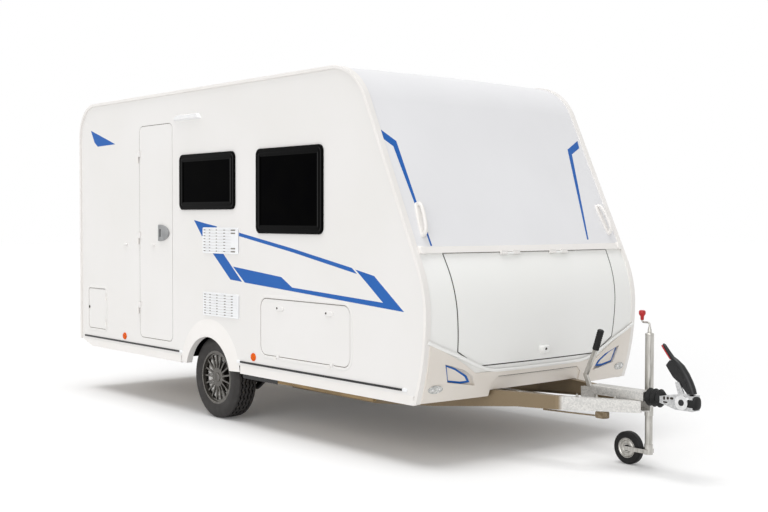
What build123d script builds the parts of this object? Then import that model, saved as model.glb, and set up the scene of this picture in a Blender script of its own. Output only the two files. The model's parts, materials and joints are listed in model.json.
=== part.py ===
from build123d import *
import os
from math import asin, atan2, cos, degrees, radians, sin, sqrt

os.makedirs("parts", exist_ok=True)

# Travel caravan, parked on its two road wheels and its jockey wheel.
# Millimetres. +X is forward along the drawbar, +Y is the left side, +Z is up, and the ground is z = 0.

# Working clearances
seam = 0.3  # between pieces that seat on each other along a curve
panel_gap = 5  # round a door, lid or hatch
overrun = 40  # how far a cutting shape passes the material

# Body shell, in side view
body_half = 1024  # outer face of a side wall from the centre plane
wall = 30  # sandwich wall
floor_base_z = 450
floor_depth = 40
wall_base_z = 457
roof_z = 2583
rear_x = -2971
nose_x = 1726  # foremost point of the side edge
nose_z = 950
tail_r = 285
brow_r = 410
nose_upper_r = 753
nose_lower_r = 1617
front_rake = 25.3  # degrees of the front wall from upright
crown_r = 10000  # the front bulges across the width with this radius
skin_inset = 8  # the edge trims stand this far outside the skins

# Edge trims
trim_width = 24
trim_proud = 12
trim_base_z = 408
trim_rear_long = 60  # the rear foot of the trim ends level with the wall

# Entry door, right side
door_rear_x = -1866
door_front_x = -1319
door_base_z = 552
door_head_drop = 250  # below the roof line
door_top_z = roof_z - door_head_drop
door_corner_r = 55
door_hinge_z = (801, 1389, 2076)
hinge_r = 8
small_hinge_r = 5
hinge_gap = 2  # air between a hinge barrel and the faces beside it
knuckle_half = 30
leaf_wide = 34
door_leaf_wide = 20
small_leaf_wide = 18
door_knuckle = 50
leaf_thick = 6
door_hinge_back = 10  # hinge axis behind the doorway's edge

# Windows: one row gives rear x, front x, base z, top z of the outer frame
window_head_drop = 518  # below the roof line
small_window_high = 438
big_window_high = 614
window_top_z = roof_z - window_head_drop
small_window = (-1193, -393, window_top_z - small_window_high, window_top_z)
big_window = (-110, 688, window_top_z - big_window_high, window_top_z)
window_corner_r = 48
frame_wide = 30
frame_proud = 12
frame_lip = 12  # how far the frame laps over the wall
pane_thick = 24
pane_proud = 8

# Rear window
rear_window_half = 480
rear_window_high = 500
rear_window_head_drop = 523  # below the roof line
rear_window_top_z = roof_z - rear_window_head_drop
rear_window_base_z = rear_window_top_z - rear_window_high

# Side lockers and service hatch
locker_rear_x = -65
locker_front_x = 977
locker_base_z = 567
locker_top_z = 983
locker_corner_r = 70
locker_hinge_share = 0.2  # of the door's length, from each end
hatch_rear_x = -2816
hatch_front_x = -2484
hatch_base_z = 564
hatch_top_z = 928
hatch_corner_r = 25

# Ventilation grilles: rear x, front x, base z, top z
upper_vent = (-847, -346, 1290, 1489)
lower_vent = (-842, -342, 806, 988)
vent_proud = 7
vent_corner_r = 14
vent_rows = 8
vent_slot_high = 6
vent_slot_deep = 4
vent_rib = 14

# Skirts and strips along the foot of the side walls
skirt_base_z = 398
skirt_rear_top_x = -2946
skirt_rear_foot_x = -2756
strip_z = 487
strip_high = 14
strip_proud = 6
strip_ends = ((-2895, -1210), (-330, 1499))

# Lamps
marker_x = (-2134, -157)
marker_z = 538
marker_r = 30
marker_proud = 9
awning_light_drop = 198  # below the roof line
awning_light_high = 45
awning_light_top_z = roof_z - awning_light_drop
awning_light = (-1282, -873, awning_light_top_z - awning_light_high, awning_light_top_z)
awning_light_proud = 21
awning_light_slope = 50  # degrees, of its ends
front_lamp_inset = 112  # in from the side wall's face
front_lamp_y = body_half - front_lamp_inset
front_lamp_z = 497
front_lamp_half = 56
front_lamp_rise = 26
front_lamp_proud = 6

# Rear bumper with its lamps
bumper_base_z = wall_base_z
bumper_top_z = 600
bumper_thick = 38
rear_lamp_long = 340
rear_lamp_inset = 124  # in from the side wall's face
rear_lamp_y = (body_half - rear_lamp_inset - rear_lamp_long, body_half - rear_lamp_inset)
rear_lamp_base_z = 485
rear_lamp_top_z = 570
rear_lamp_deep = 10

# Roof hatch
roof_hatch_x = -900
roof_hatch_long = 700
roof_hatch_wide = 500
roof_hatch_corner_r = 40
roof_frame_wide = 45
roof_frame_high = 28
roof_lid_high = 45
roof_lid_wall = 6
roof_lid_slope = 35  # degrees from upright
flue_x = 300
flue_inset = 384
flue_y = body_half - flue_inset
flue_r = 55
flue_high = 60
flue_slope = 8  # degrees from upright

# Road wheels and arches
axle_x = -763
tyre_r = 318
tyre_wide = 195
tyre_inset = 49  # in from the side wall's face
tyre_outer_y = body_half - tyre_inset
rim_r = 208
arch_r = 322
arch_liner = 8
arch_trim_r = 427
arch_trim_rise = 34  # centre of the outer curve above the axle
arch_proud = 21
arch_face_r = 345  # where the arch trim's sloping face reaches its lip
wheel_box_half = 362
wheel_box_top_z = 704
wheel_box_deep = 289  # in from the side wall's face
wheel_box_inner_y = body_half - wheel_box_deep
wheel_box_wall = 12

# Front: hinge rail, gas locker and lower fairing
rail_base_z = 1346
rail_high = 40
rail_proud = 16
lid_top_margin = 214  # margins run in from the side wall's face
lid_knee_margin = 258
lid_corner_margin = 437
lid_top_half = body_half - lid_top_margin
lid_knee_half = body_half - lid_knee_margin
lid_knee_z = 726
lid_corner_half = body_half - lid_corner_margin
lid_base_z = 620
lid_hinge_y = (-240, 240)
crease_side_z = 790
crease_mid_margin = 190
crease_low_margin = 424
crease_mid_half = body_half - crease_mid_margin
crease_mid_z = 713
crease_low_half = body_half - crease_low_margin
crease_low_z = 577
fairing_base_z = 412
fairing_proud = 12
fairing_step_half = 430
pocket_corners = ((864, 655), (698, 606), (625, 562), (586, 496), (824, 535))  # off centre, height
pocket_deep = 26
recess_corners = ((400, 540), (446, 500), (446, 400))
recess_deep = 12
lid_skin = 6
lid_core_inset = 14
fairing_step_z = 452
bulkhead_x = 1180
bulkhead_thick = 20

# Drawbar and chassis beams: open C sections
beam_high = 78
beam_flange = 45
beam_web = 5
beam_nose_x = 2591
beam_nose_half = 51
beam_bend_x = 2122
beam_bend_half = 295
beam_rail_x = 1250
beam_rail_half = 526
beam_rear_x = -2780
beam_low_z = 245
beam_foot = (  # the beams' lower edge, from the nose back to the axle
    (beam_nose_x, 377),
    (1850, 358),
    (650, beam_low_z),
    (-350, beam_low_z),
    (-500, 372),
    (beam_rear_x, 372),
)
cross_member_x = (1180, -1500, -2680)
cross_member_long = 60

# Derived places of the body's side view
rake_sin = sin(radians(front_rake))
rake_cos = cos(radians(front_rake))
upper_centre_x = nose_x - nose_upper_r
lower_centre_x = nose_x - nose_lower_r
rake_reach = upper_centre_x * rake_cos + nose_z * rake_sin + nose_upper_r
brow_centre_z = roof_z - brow_r
brow_centre_x = (rake_reach - brow_r - brow_centre_z * rake_sin) / rake_cos
inner_half = body_half - wall
floor_top_z = floor_base_z + floor_depth

# The crowned front turns about an upright axis far behind the body
crown_drop = crown_r - sqrt(crown_r**2 - body_half**2)
crown_axis_x = nose_x + crown_drop - crown_r
crown_shift = crown_drop - crown_axis_x
brow_reach = brow_centre_x + crown_shift
half_sweep = degrees(atan2(body_half, brow_reach))
sweep_cos = cos(radians(half_sweep))
sweep_sin = sin(radians(half_sweep))
crown_axis = Axis((crown_axis_x, 0, 0), (0, 0, 1))
crown_plane = Plane(
    origin=(crown_axis_x, 0, 0),
    x_dir=(sweep_cos, -sweep_sin, 0),
    z_dir=(-sweep_sin, -sweep_cos, 0),
)


def right_plane(half):
    """Side-view plane at a distance to the right, drawn in x and z, facing right."""
    return Plane.XZ.offset(half)


def front_x(z, inset):
    """Distance forward of the side edge at a height, from the raked line down."""
    if z <= nose_z:
        return lower_centre_x + sqrt((nose_lower_r - inset) ** 2 - (nose_z - z) ** 2)
    rake_foot_z = nose_z + (nose_upper_r - inset) * rake_sin
    if z <= rake_foot_z:
        return upper_centre_x + sqrt((nose_upper_r - inset) ** 2 - (z - nose_z) ** 2)
    return (rake_reach - inset - z * rake_sin) / rake_cos


def crown_x(z, inset, y):
    """Distance forward of the crowned front at a height and a distance off centre."""
    reach = front_x(z, inset) + crown_shift
    return crown_axis_x + sqrt(reach**2 - y**2)


def outline(inset, base_z, shift=0):
    """Side view of the body, inset all round and cut level at base_z."""
    low_r = nose_lower_r - inset
    low_turn = degrees(asin((nose_z - base_z) / low_r))
    with BuildLine() as path:
        lower = CenterArc((lower_centre_x + shift, nose_z), low_r, -low_turn, low_turn)
        upper = CenterArc((upper_centre_x + shift, nose_z), nose_upper_r - inset, 0, front_rake)
        brow_centre = (brow_centre_x + shift, brow_centre_z)
        brow = CenterArc(brow_centre, brow_r - inset, front_rake, 90 - front_rake)
        tail = CenterArc((rear_x + tail_r + shift, roof_z - tail_r), tail_r - inset, 90, 90)
        Line(upper @ 1, brow @ 0)
        Line(brow @ 1, tail @ 0)
        Polyline(tail @ 1, (rear_x + inset + shift, base_z), lower @ 0)
    return path.edges()


def body_face(inset, base_z, shift=0, mode=Mode.ADD):
    """Side view of the body as a face."""
    make_face(outline(inset, base_z, shift), mode=mode)


def body_ring(outer, inner, base_z, shift=0):
    """The strip between two insets of the side view."""
    body_face(outer, base_z, shift)
    body_face(inner, base_z - overrun, shift, Mode.SUBTRACT)


def keep_box(x_low, x_high, half, z_low, z_high):
    """Trims the current part to a box."""
    with Locations(((x_low + x_high) / 2, 0, (z_low + z_high) / 2)):
        Box(x_high - x_low, 2 * half, z_high - z_low, mode=Mode.INTERSECT)


def opening(row, grow, corner_r, mode=Mode.SUBTRACT):
    """A rounded opening in a side-view sketch, from rear x, front x, base z and top z."""
    x_low, x_high, z_low, z_high = row
    with Locations(((x_low + x_high) / 2, (z_low + z_high) / 2)):
        RectangleRounded(x_high - x_low + 2 * grow, z_high - z_low + 2 * grow, corner_r + grow, mode=mode)


door_row = (door_rear_x, door_front_x, door_base_z, door_top_z)
locker_row = (locker_rear_x, locker_front_x, locker_base_z, locker_top_z)
hatch_row = (hatch_rear_x, hatch_front_x, hatch_base_z, hatch_top_z)
arch_cut_r = arch_r + arch_liner + seam

# Side walls: one sandwich panel each, cut for the windows, doors, hatches and wheel arch
with BuildPart() as side_wall_right:
    with BuildSketch(right_plane(inner_half)):
        body_face(skin_inset, wall_base_z)
        opening(door_row, 0, door_corner_r)
        opening(locker_row, 0, locker_corner_r)
        opening(hatch_row, 0, hatch_corner_r)
        opening(small_window, -frame_lip, window_corner_r)
        opening(big_window, -frame_lip, window_corner_r)
        with Locations((axle_x, tyre_r)):
            Circle(arch_cut_r, mode=Mode.SUBTRACT)
    extrude(amount=wall)
side_wall_right.part.label = "side_wall_right"
export_step(side_wall_right.part, "parts/side_wall_right.step")

with BuildPart() as side_wall_left:
    with BuildSketch(right_plane(-body_half)):
        body_face(skin_inset, wall_base_z)
        opening(small_window, -frame_lip, window_corner_r)
        opening(big_window, -frame_lip, window_corner_r)
        with Locations((axle_x, tyre_r)):
            Circle(arch_cut_r, mode=Mode.SUBTRACT)
    extrude(amount=wall)
side_wall_left.part.label = "side_wall_left"
export_step(side_wall_left.part, "parts/side_wall_left.step")

# Roof, with its front edge following the crown
with BuildPart() as roof_panel:
    with BuildSketch(Plane.XY.offset(roof_z - skin_inset - wall)):
        with Locations((crown_axis_x, 0)):
            Circle(brow_reach - seam)
        with Locations((rear_x + tail_r + crown_r / 2, 0)):
            Rectangle(crown_r, 2 * inner_half, mode=Mode.INTERSECT)
        with Locations((roof_hatch_x, 0)):
            RectangleRounded(roof_hatch_long, roof_hatch_wide, roof_hatch_corner_r, mode=Mode.SUBTRACT)
    extrude(amount=wall)
roof_panel.part.label = "roof_panel"
export_step(roof_panel.part, "parts/roof_panel.step")

# Rear wall with the curved top corner
with BuildPart() as rear_wall:
    with BuildSketch(right_plane(-inner_half)):
        body_ring(skin_inset, skin_inset + wall, wall_base_z)
        with Locations((rear_x + tail_r / 2, bumper_top_z + roof_z / 2)):
            Rectangle(tail_r, roof_z, mode=Mode.INTERSECT)
    extrude(amount=2 * inner_half)
    with BuildSketch(Plane.YZ.offset(rear_x)):
        with Locations((0, (rear_window_base_z + rear_window_top_z) / 2)):
            RectangleRounded(
                2 * (rear_window_half - frame_lip),
                rear_window_top_z - rear_window_base_z - 2 * frame_lip,
                window_corner_r - frame_lip,
            )
    extrude(amount=tail_r / 2, mode=Mode.SUBTRACT)
rear_wall.part.label = "rear_wall"
export_step(rear_wall.part, "parts/rear_wall.step")


def crown_strip(outer, inner, z_low, z_high):
    """Turns a strip of the front about the crown axis and trims it between the side walls."""
    with BuildSketch(crown_plane) as strip:
        body_ring(outer, inner, trim_base_z, crown_shift)
        with Locations((brow_reach + crown_r / 2, (z_low + z_high) / 2)):
            Rectangle(crown_r, z_high - z_low, mode=Mode.INTERSECT)
    revolve(strip.sketch, axis=crown_axis, revolution_arc=2 * half_sweep)
    keep_box(-nose_x, 2 * nose_x, inner_half, 0, 2 * roof_z)


def lid_outline(gap):
    """Front view of the gas locker lid in y and z, drawn in by a gap."""
    top = rail_base_z - gap
    knee = (lid_knee_half - gap, lid_knee_z + gap / 2)
    corner = (lid_corner_half - gap / 2, lid_base_z + gap)
    with BuildLine() as path:
        Polyline(
            (lid_top_half - gap, top),
            knee,
            corner,
            (-corner[0], corner[1]),
            (-knee[0], knee[1]),
            (gap - lid_top_half, top),
            close=True,
        )
    return path.edges()


def crease_outline(lift, z_edge):
    """Region between the fairing's crease and a level far above or below it."""
    with BuildLine() as path:
        left = ThreePointArc(
            (body_half, crease_side_z + lift),
            (crease_mid_half, crease_mid_z + lift),
            (crease_low_half, crease_low_z + lift),
        )
        right = ThreePointArc(
            (-body_half, crease_side_z + lift),
            (-crease_mid_half, crease_mid_z + lift),
            (-crease_low_half, crease_low_z + lift),
        )
        Line(left @ 1, right @ 1)
        Polyline(left @ 0, (body_half, z_edge), (-body_half, z_edge), right @ 0)
    return path.edges()


# Front wall above the hinge rail, front surround round the gas locker, its lid and the lower fairing
with BuildPart() as front_wall:
    crown_strip(skin_inset, skin_inset + wall, rail_base_z, 2 * roof_z - rail_base_z)
front_wall.part.label = "front_wall"
export_step(front_wall.part, "parts/front_wall.step")

with BuildPart() as front_surround:
    crown_strip(skin_inset, skin_inset + wall, fairing_base_z, rail_base_z)
    with BuildSketch(Plane.YZ):
        make_face(crease_outline(seam, roof_z))
        make_face(lid_outline(0), mode=Mode.SUBTRACT)
    extrude(amount=2 * nose_x, mode=Mode.INTERSECT)
front_surround.part.label = "front_surround"
export_step(front_surround.part, "parts/front_surround.step")

# The lid turns on knuckles under the hinge rail, clear of its own raked face
lid_hinge_z = rail_base_z - hinge_r - hinge_gap
lid_hinge_x = crown_x(lid_hinge_z, skin_inset, 0) + (hinge_r + hinge_gap) / rake_cos


def cross_knuckles(centres, half):
    """Hinge barrels along Y on the lid's axis."""
    with BuildSketch(Plane.XZ) as barrel:
        with Locations((lid_hinge_x, lid_hinge_z)):
            Circle(hinge_r)
    for y in centres:
        extrude(barrel.sketch.moved(Location((0, y + half, 0))), amount=2 * half)


with BuildPart() as hinge_rail:
    crown_strip(skin_inset - rail_proud, skin_inset - seam, rail_base_z, rail_base_z + rail_high)
    for y in lid_hinge_y:
        cross_knuckles((y - 2 * knuckle_half - seam, y + 2 * knuckle_half + seam), knuckle_half)
        for side in (-1, 1):
            with Locations((lid_hinge_x - hinge_r / 4, y + side * (2 * knuckle_half + seam), rail_base_z)):
                Box(1.5 * hinge_r, 2 * knuckle_half, 2 * (hinge_r + hinge_gap))
hinge_rail.part.label = "hinge_rail"
export_step(hinge_rail.part, "parts/hinge_rail.step")

# The lid's skin laps past its core, so that its upper corners swing clear of the surround
with BuildPart() as lid_core:
    crown_strip(skin_inset + lid_skin, skin_inset + wall, fairing_base_z, rail_base_z)
    with BuildSketch(Plane.YZ):
        make_face(lid_outline(panel_gap + lid_core_inset))
    extrude(amount=2 * nose_x, mode=Mode.INTERSECT)

with BuildPart() as gas_locker_lid:
    crown_strip(skin_inset, skin_inset + lid_skin, fairing_base_z, rail_base_z)
    with BuildSketch(Plane.YZ):
        make_face(lid_outline(panel_gap))
    extrude(amount=2 * nose_x, mode=Mode.INTERSECT)
    add(lid_core.part)
    cross_knuckles(lid_hinge_y, knuckle_half)
    for y in lid_hinge_y:
        with Locations((lid_hinge_x - leaf_wide / 2, y, lid_hinge_z - hinge_r / 2)):
            Box(leaf_wide, 2 * knuckle_half, hinge_r)
gas_locker_lid.part.label = "gas_locker_lid"
export_step(gas_locker_lid.part, "parts/gas_locker_lid.step")

# What is cut out of the fairing: a deep pocket above each lamp and a shallow recess between them
fairing_face = skin_inset - fairing_proud
with BuildPart() as fairing_pockets:
    crown_strip(fairing_face - seam, fairing_face + pocket_deep, fairing_base_z, rail_base_z)
    with BuildSketch(Plane.YZ):
        for side in (-1, 1):
            with BuildLine():
                Polyline(*[(side * y, z) for y, z in pocket_corners], close=True)
            make_face()
    extrude(amount=2 * nose_x, mode=Mode.INTERSECT)

with BuildPart() as fairing_recess:
    crown_strip(fairing_face - seam, fairing_face + recess_deep, fairing_base_z, rail_base_z)
    with BuildSketch(Plane.YZ):
        with BuildLine():
            Polyline(*recess_corners, *[(-y, z) for y, z in reversed(recess_corners)], close=True)
        make_face()
    extrude(amount=2 * nose_x, mode=Mode.INTERSECT)

with BuildPart() as lower_fairing:
    crown_strip(fairing_face, skin_inset + wall, fairing_base_z, rail_base_z)
    with BuildSketch(Plane.YZ):
        make_face(crease_outline(0, fairing_base_z))
        with Locations((0, fairing_base_z)):
            Rectangle(2 * fairing_step_half, 2 * (fairing_step_z - fairing_base_z), mode=Mode.SUBTRACT)
    extrude(amount=2 * nose_x, mode=Mode.INTERSECT)
    add(fairing_pockets.part, mode=Mode.SUBTRACT)
    add(fairing_recess.part, mode=Mode.SUBTRACT)
lower_fairing.part.label = "lower_fairing"
export_step(lower_fairing.part, "parts/lower_fairing.step")

with BuildPart() as edge_trims:
    with BuildSketch(right_plane(body_half)):
        body_ring(0, trim_width, trim_base_z)
    extrude(amount=trim_proud)
    with BuildSketch(right_plane(inner_half)):
        body_ring(0, skin_inset, trim_base_z)
    extrude(amount=wall)
    with Locations((rear_x, -body_half, trim_base_z)):
        Box(2 * trim_rear_long, 4 * wall, 2 * (wall_base_z - trim_base_z), mode=Mode.SUBTRACT)
    mirror(about=Plane.XZ)
edge_trims.part.label = "edge_trims"
export_step(edge_trims.part, "parts/edge_trims.step")

# Floor, following the crown at its front edge, cut out for the wheel boxes, on a sill board each side
sill_ends = (-336, 1173)
sill_base_z = 369
rear_inner_x = rear_x + skin_inset + wall
with BuildPart() as floor_panel:
    with BuildSketch(Plane.XY.offset(floor_base_z)):
        with Locations((crown_axis_x, 0)):
            Circle(front_x(floor_base_z, skin_inset + wall) + crown_shift - seam)
        with Locations((rear_inner_x + crown_r / 2, 0)):
            Rectangle(crown_r, 2 * inner_half, mode=Mode.INTERSECT)
        for side in (-1, 1):
            with Locations((axle_x, side * (wheel_box_inner_y + inner_half) / 2)):
                Rectangle(2 * wheel_box_half, inner_half - wheel_box_inner_y, mode=Mode.SUBTRACT)
    extrude(amount=floor_depth)
    sill_z = (sill_base_z + floor_base_z) / 2
    for side in (-1, 1):
        with Locations((sum(sill_ends) / 2, side * (inner_half - wall / 2), sill_z)):
            Box(sill_ends[1] - sill_ends[0], wall, floor_base_z - sill_base_z)
floor_panel.part.label = "floor_panel"
export_step(floor_panel.part, "parts/floor_panel.step")

# Bulkhead between the gas locker and the cabin, with its shelf under the hinge rail
shelf_z = rail_base_z + hinge_gap
with BuildPart() as locker_bulkhead:
    with Locations((bulkhead_x + bulkhead_thick / 2, 0, (floor_top_z + shelf_z) / 2)):
        Box(bulkhead_thick, 2 * inner_half, shelf_z - floor_top_z)
    with BuildSketch(Plane.XY.offset(shelf_z)):
        with Locations((crown_axis_x, 0)):
            Circle(front_x(shelf_z + bulkhead_thick, skin_inset + wall) + crown_shift - seam)
        with Locations((bulkhead_x + crown_r / 2, 0)):
            Rectangle(crown_r, 2 * inner_half, mode=Mode.INTERSECT)
    extrude(amount=bulkhead_thick)
locker_bulkhead.part.label = "locker_bulkhead"
export_step(locker_bulkhead.part, "parts/locker_bulkhead.step")

# Rear bumper across the foot of the rear wall, with pockets for its lamps
rear_lamp_mid_y = sum(rear_lamp_y) / len(rear_lamp_y)
rear_lamp_mid_z = (rear_lamp_base_z + rear_lamp_top_z) / 2
with BuildPart() as rear_bumper:
    with BuildSketch(Plane.YZ.offset(rear_x)):
        with Locations((0, (bumper_base_z + bumper_top_z) / 2)):
            Rectangle(2 * inner_half, bumper_top_z - bumper_base_z)
    extrude(amount=bumper_thick)
    with BuildSketch(Plane.YZ.offset(rear_x)):
        with Locations((-rear_lamp_mid_y, rear_lamp_mid_z), (rear_lamp_mid_y, rear_lamp_mid_z)):
            SlotOverall(rear_lamp_long, rear_lamp_top_z - rear_lamp_base_z)
    extrude(amount=rear_lamp_deep, mode=Mode.SUBTRACT)
rear_bumper.part.label = "rear_bumper"
export_step(rear_bumper.part, "parts/rear_bumper.step")

with BuildPart() as rear_lamps:
    with BuildSketch(Plane.YZ.offset(rear_x)):
        with Locations((-rear_lamp_mid_y, rear_lamp_mid_z), (rear_lamp_mid_y, rear_lamp_mid_z)):
            SlotOverall(rear_lamp_long - 2 * seam, rear_lamp_top_z - rear_lamp_base_z - 2 * seam)
    extrude(amount=rear_lamp_deep)
rear_lamps.part.label = "rear_lamps"
export_step(rear_lamps.part, "parts/rear_lamps.step")

# Wheel arch trims: a sloping flare outside the wall and a liner through it
with BuildPart() as arch_trims:
    with BuildSketch(right_plane(body_half)):
        with Locations((axle_x, tyre_r + arch_trim_rise)):
            Circle(arch_trim_r)
    with BuildSketch(right_plane(body_half + arch_proud)):
        with Locations((axle_x, tyre_r)):
            Circle(arch_face_r)
    loft()
    with BuildSketch(right_plane(inner_half)):
        with Locations((axle_x, tyre_r)):
            Circle(arch_r + arch_liner)
    extrude(amount=wall)
    with BuildSketch(right_plane(inner_half)):
        with Locations((axle_x, tyre_r)):
            Circle(arch_r)
        with Locations((axle_x, trim_base_z - arch_trim_r)):
            Rectangle(2 * arch_trim_r, 2 * arch_trim_r)
    extrude(amount=wall + arch_proud, mode=Mode.SUBTRACT)
    mirror(about=Plane.XZ)
arch_trims.part.label = "arch_trims"
export_step(arch_trims.part, "parts/arch_trims.step")

# Wheel boxes stand in the floor's cut-outs, open below and towards the side wall
with BuildPart() as wheel_boxes:
    with BuildSketch(right_plane(wheel_box_inner_y)):
        with Locations((axle_x, (floor_base_z + wheel_box_top_z) / 2)):
            Rectangle(2 * wheel_box_half, wheel_box_top_z - floor_base_z)
    extrude(amount=inner_half - wheel_box_inner_y)
    with BuildSketch(right_plane(wheel_box_inner_y + wheel_box_wall)):
        with Locations((axle_x, floor_base_z)):
            Rectangle(
                2 * (wheel_box_half - wheel_box_wall),
                2 * (wheel_box_top_z - wheel_box_wall - floor_base_z),
            )
    extrude(amount=inner_half, mode=Mode.SUBTRACT)
    mirror(about=Plane.XZ)
wheel_boxes.part.label = "wheel_boxes"
export_step(wheel_boxes.part, "parts/wheel_boxes.step")

# Skirts below the side walls, before and behind each wheel arch
skirt_front_x = front_x(trim_base_z, trim_width) - panel_gap
with BuildPart() as side_skirts:
    with BuildSketch(right_plane(inner_half)):
        with BuildLine():
            Polyline(
                (skirt_rear_top_x, wall_base_z),
                (skirt_rear_foot_x, skirt_base_z),
                (axle_x - arch_trim_r, skirt_base_z),
                (axle_x - arch_trim_r, wall_base_z),
                close=True,
            )
        make_face()
        with Locations(((axle_x + arch_trim_r + skirt_front_x) / 2, (skirt_base_z + wall_base_z) / 2)):
            Rectangle(skirt_front_x - axle_x - arch_trim_r, wall_base_z - skirt_base_z)
    extrude(amount=wall)
    mirror(about=Plane.XZ)
side_skirts.part.label = "side_skirts"
export_step(side_skirts.part, "parts/side_skirts.step")

with BuildPart() as side_strips:
    with BuildSketch(right_plane(body_half)):
        for x_low, x_high in strip_ends:
            with Locations(((x_low + x_high) / 2, strip_z)):
                Rectangle(x_high - x_low, strip_high)
    extrude(amount=strip_proud)
    mirror(about=Plane.XZ)
side_strips.part.label = "side_strips"
export_step(side_strips.part, "parts/side_strips.step")


def window_frame(rows, plane_at, proud):
    """Frame that laps over the wall and lines its opening; plane_at gives a plane by its depth outwards."""
    with BuildSketch(plane_at(0)) as flange:
        for row in rows:
            opening(row, 0, window_corner_r, Mode.ADD)
            opening(row, -frame_wide, window_corner_r)
    extrude(flange.sketch, amount=proud)
    with BuildSketch(plane_at(-wall)) as sleeve:
        for row in rows:
            opening(row, -frame_lip - seam, window_corner_r, Mode.ADD)
            opening(row, -frame_wide, window_corner_r)
    extrude(sleeve.sketch, amount=wall)


def window_pane(rows, plane_at, proud):
    """Double pane that fills a frame."""
    with BuildSketch(plane_at(proud - pane_thick)) as glass:
        for row in rows:
            opening(row, -frame_wide - seam, window_corner_r, Mode.ADD)
    extrude(glass.sketch, amount=pane_thick)


def right_at(depth):
    return right_plane(body_half + depth)


def rear_at(depth):
    """Plane on the rear wall, drawn in y and z and facing backwards."""
    return Plane(origin=(rear_x + skin_inset - depth, 0, 0), x_dir=(0, -1, 0), z_dir=(-1, 0, 0))


side_windows = (small_window, big_window)
rear_windows = ((-rear_window_half, rear_window_half, rear_window_base_z, rear_window_top_z),)
with BuildPart() as window_frames:
    window_frame(side_windows, right_at, frame_proud)
    mirror(about=Plane.XZ)
    window_frame(rear_windows, rear_at, skin_inset)
window_frames.part.label = "window_frames"
export_step(window_frames.part, "parts/window_frames.step")

with BuildPart() as window_panes:
    window_pane(side_windows, right_at, pane_proud)
    mirror(about=Plane.XZ)
    window_pane(rear_windows, rear_at, skin_inset / 2)
window_panes.part.label = "window_panes"
export_step(window_panes.part, "parts/window_panes.step")

# Ventilation grilles: a plate with rows of slots
vent_columns = 4
with BuildPart() as vent_grilles:
    with BuildSketch(right_plane(body_half)):
        for row in (upper_vent, lower_vent):
            opening(row, 0, vent_corner_r, Mode.ADD)
    extrude(amount=vent_proud)
    for row, columns in ((upper_vent, vent_columns), (lower_vent, vent_columns + 1)):
        x_low, x_high, z_low, z_high = row
        pitch_x = (x_high - x_low - vent_rib) / (vent_columns + 1)
        pitch_z = (z_high - z_low - vent_rib) / vent_rows
        with BuildSketch(right_plane(body_half + vent_proud)):
            with Locations(((x_low + (vent_rib + columns * pitch_x) / 2), (z_low + z_high) / 2)):
                with GridLocations(pitch_x, pitch_z, columns, vent_rows):
                    Rectangle(pitch_x - vent_rib, vent_slot_high)
        extrude(amount=-vent_slot_deep, mode=Mode.SUBTRACT)
vent_grilles.part.label = "vent_grilles"
export_step(vent_grilles.part, "parts/vent_grilles.step")

# Side marker lamps and the awning light
with BuildPart() as side_markers:
    with BuildSketch(right_plane(body_half)):
        with Locations(*[(x, marker_z) for x in marker_x]):
            Circle(marker_r)
    extrude(amount=marker_proud)
    chamfer(side_markers.edges().group_by(Axis.Y)[0], marker_proud / 2)
    mirror(about=Plane.XZ)
side_markers.part.label = "side_markers"
export_step(side_markers.part, "parts/side_markers.step")

with BuildPart() as awning_lamp:
    with BuildSketch(right_plane(body_half)):
        with Locations((sum(awning_light[:2]) / 2, awning_light_top_z - awning_light_high / 2)):
            Trapezoid(awning_light[1] - awning_light[0], awning_light_high, awning_light_slope)
    extrude(amount=awning_light_proud, taper=awning_light_slope / 2)
awning_lamp.part.label = "awning_lamp"
export_step(awning_lamp.part, "parts/awning_lamp.step")

# Front position lamps follow the fairing's crown
with BuildPart() as front_lamps:
    crown_strip(fairing_face - front_lamp_proud, fairing_face - seam, fairing_base_z, rail_base_z)
    with BuildSketch(Plane.YZ):
        with Locations((-front_lamp_y, front_lamp_z), (front_lamp_y, front_lamp_z)):
            Ellipse(front_lamp_half, front_lamp_rise)
    extrude(amount=2 * nose_x, mode=Mode.INTERSECT)
front_lamps.part.label = "front_lamps"
export_step(front_lamps.part, "parts/front_lamps.step")

# Front grab handles on the raked wall
handle_inset = 119
handle_y = body_half - handle_inset
handle_z = 1553
handle_long = 223
handle_high = 48
handle_grip = 18
handle_wide = 30
handle_foot = 45
handle_slope = 25  # how far each end leans in over the height
with BuildPart() as grab_handles:
    handle_x = crown_x(handle_z, skin_inset - seam, handle_y - handle_wide / 2)
    handle_plane = Plane(
        origin=(handle_x, -handle_y + handle_wide / 2, handle_z),
        x_dir=(rake_sin, 0, -rake_cos),
        z_dir=(0, -1, 0),
    )
    with BuildSketch(handle_plane):
        end_slope = degrees(atan2(handle_high, handle_slope))
        Trapezoid(handle_long + 2 * handle_slope, 2 * handle_high, end_slope)
        with Locations((0, -handle_high)):
            Rectangle(2 * handle_long, 2 * handle_high, mode=Mode.SUBTRACT)
        with Locations((0, (handle_high - handle_grip) / 2)):
            Rectangle(handle_long - 2 * handle_foot, handle_high - handle_grip, mode=Mode.SUBTRACT)
    extrude(amount=handle_wide)
    mirror(about=Plane.XZ)
grab_handles.part.label = "grab_handles"
export_step(grab_handles.part, "parts/grab_handles.step")

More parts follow.
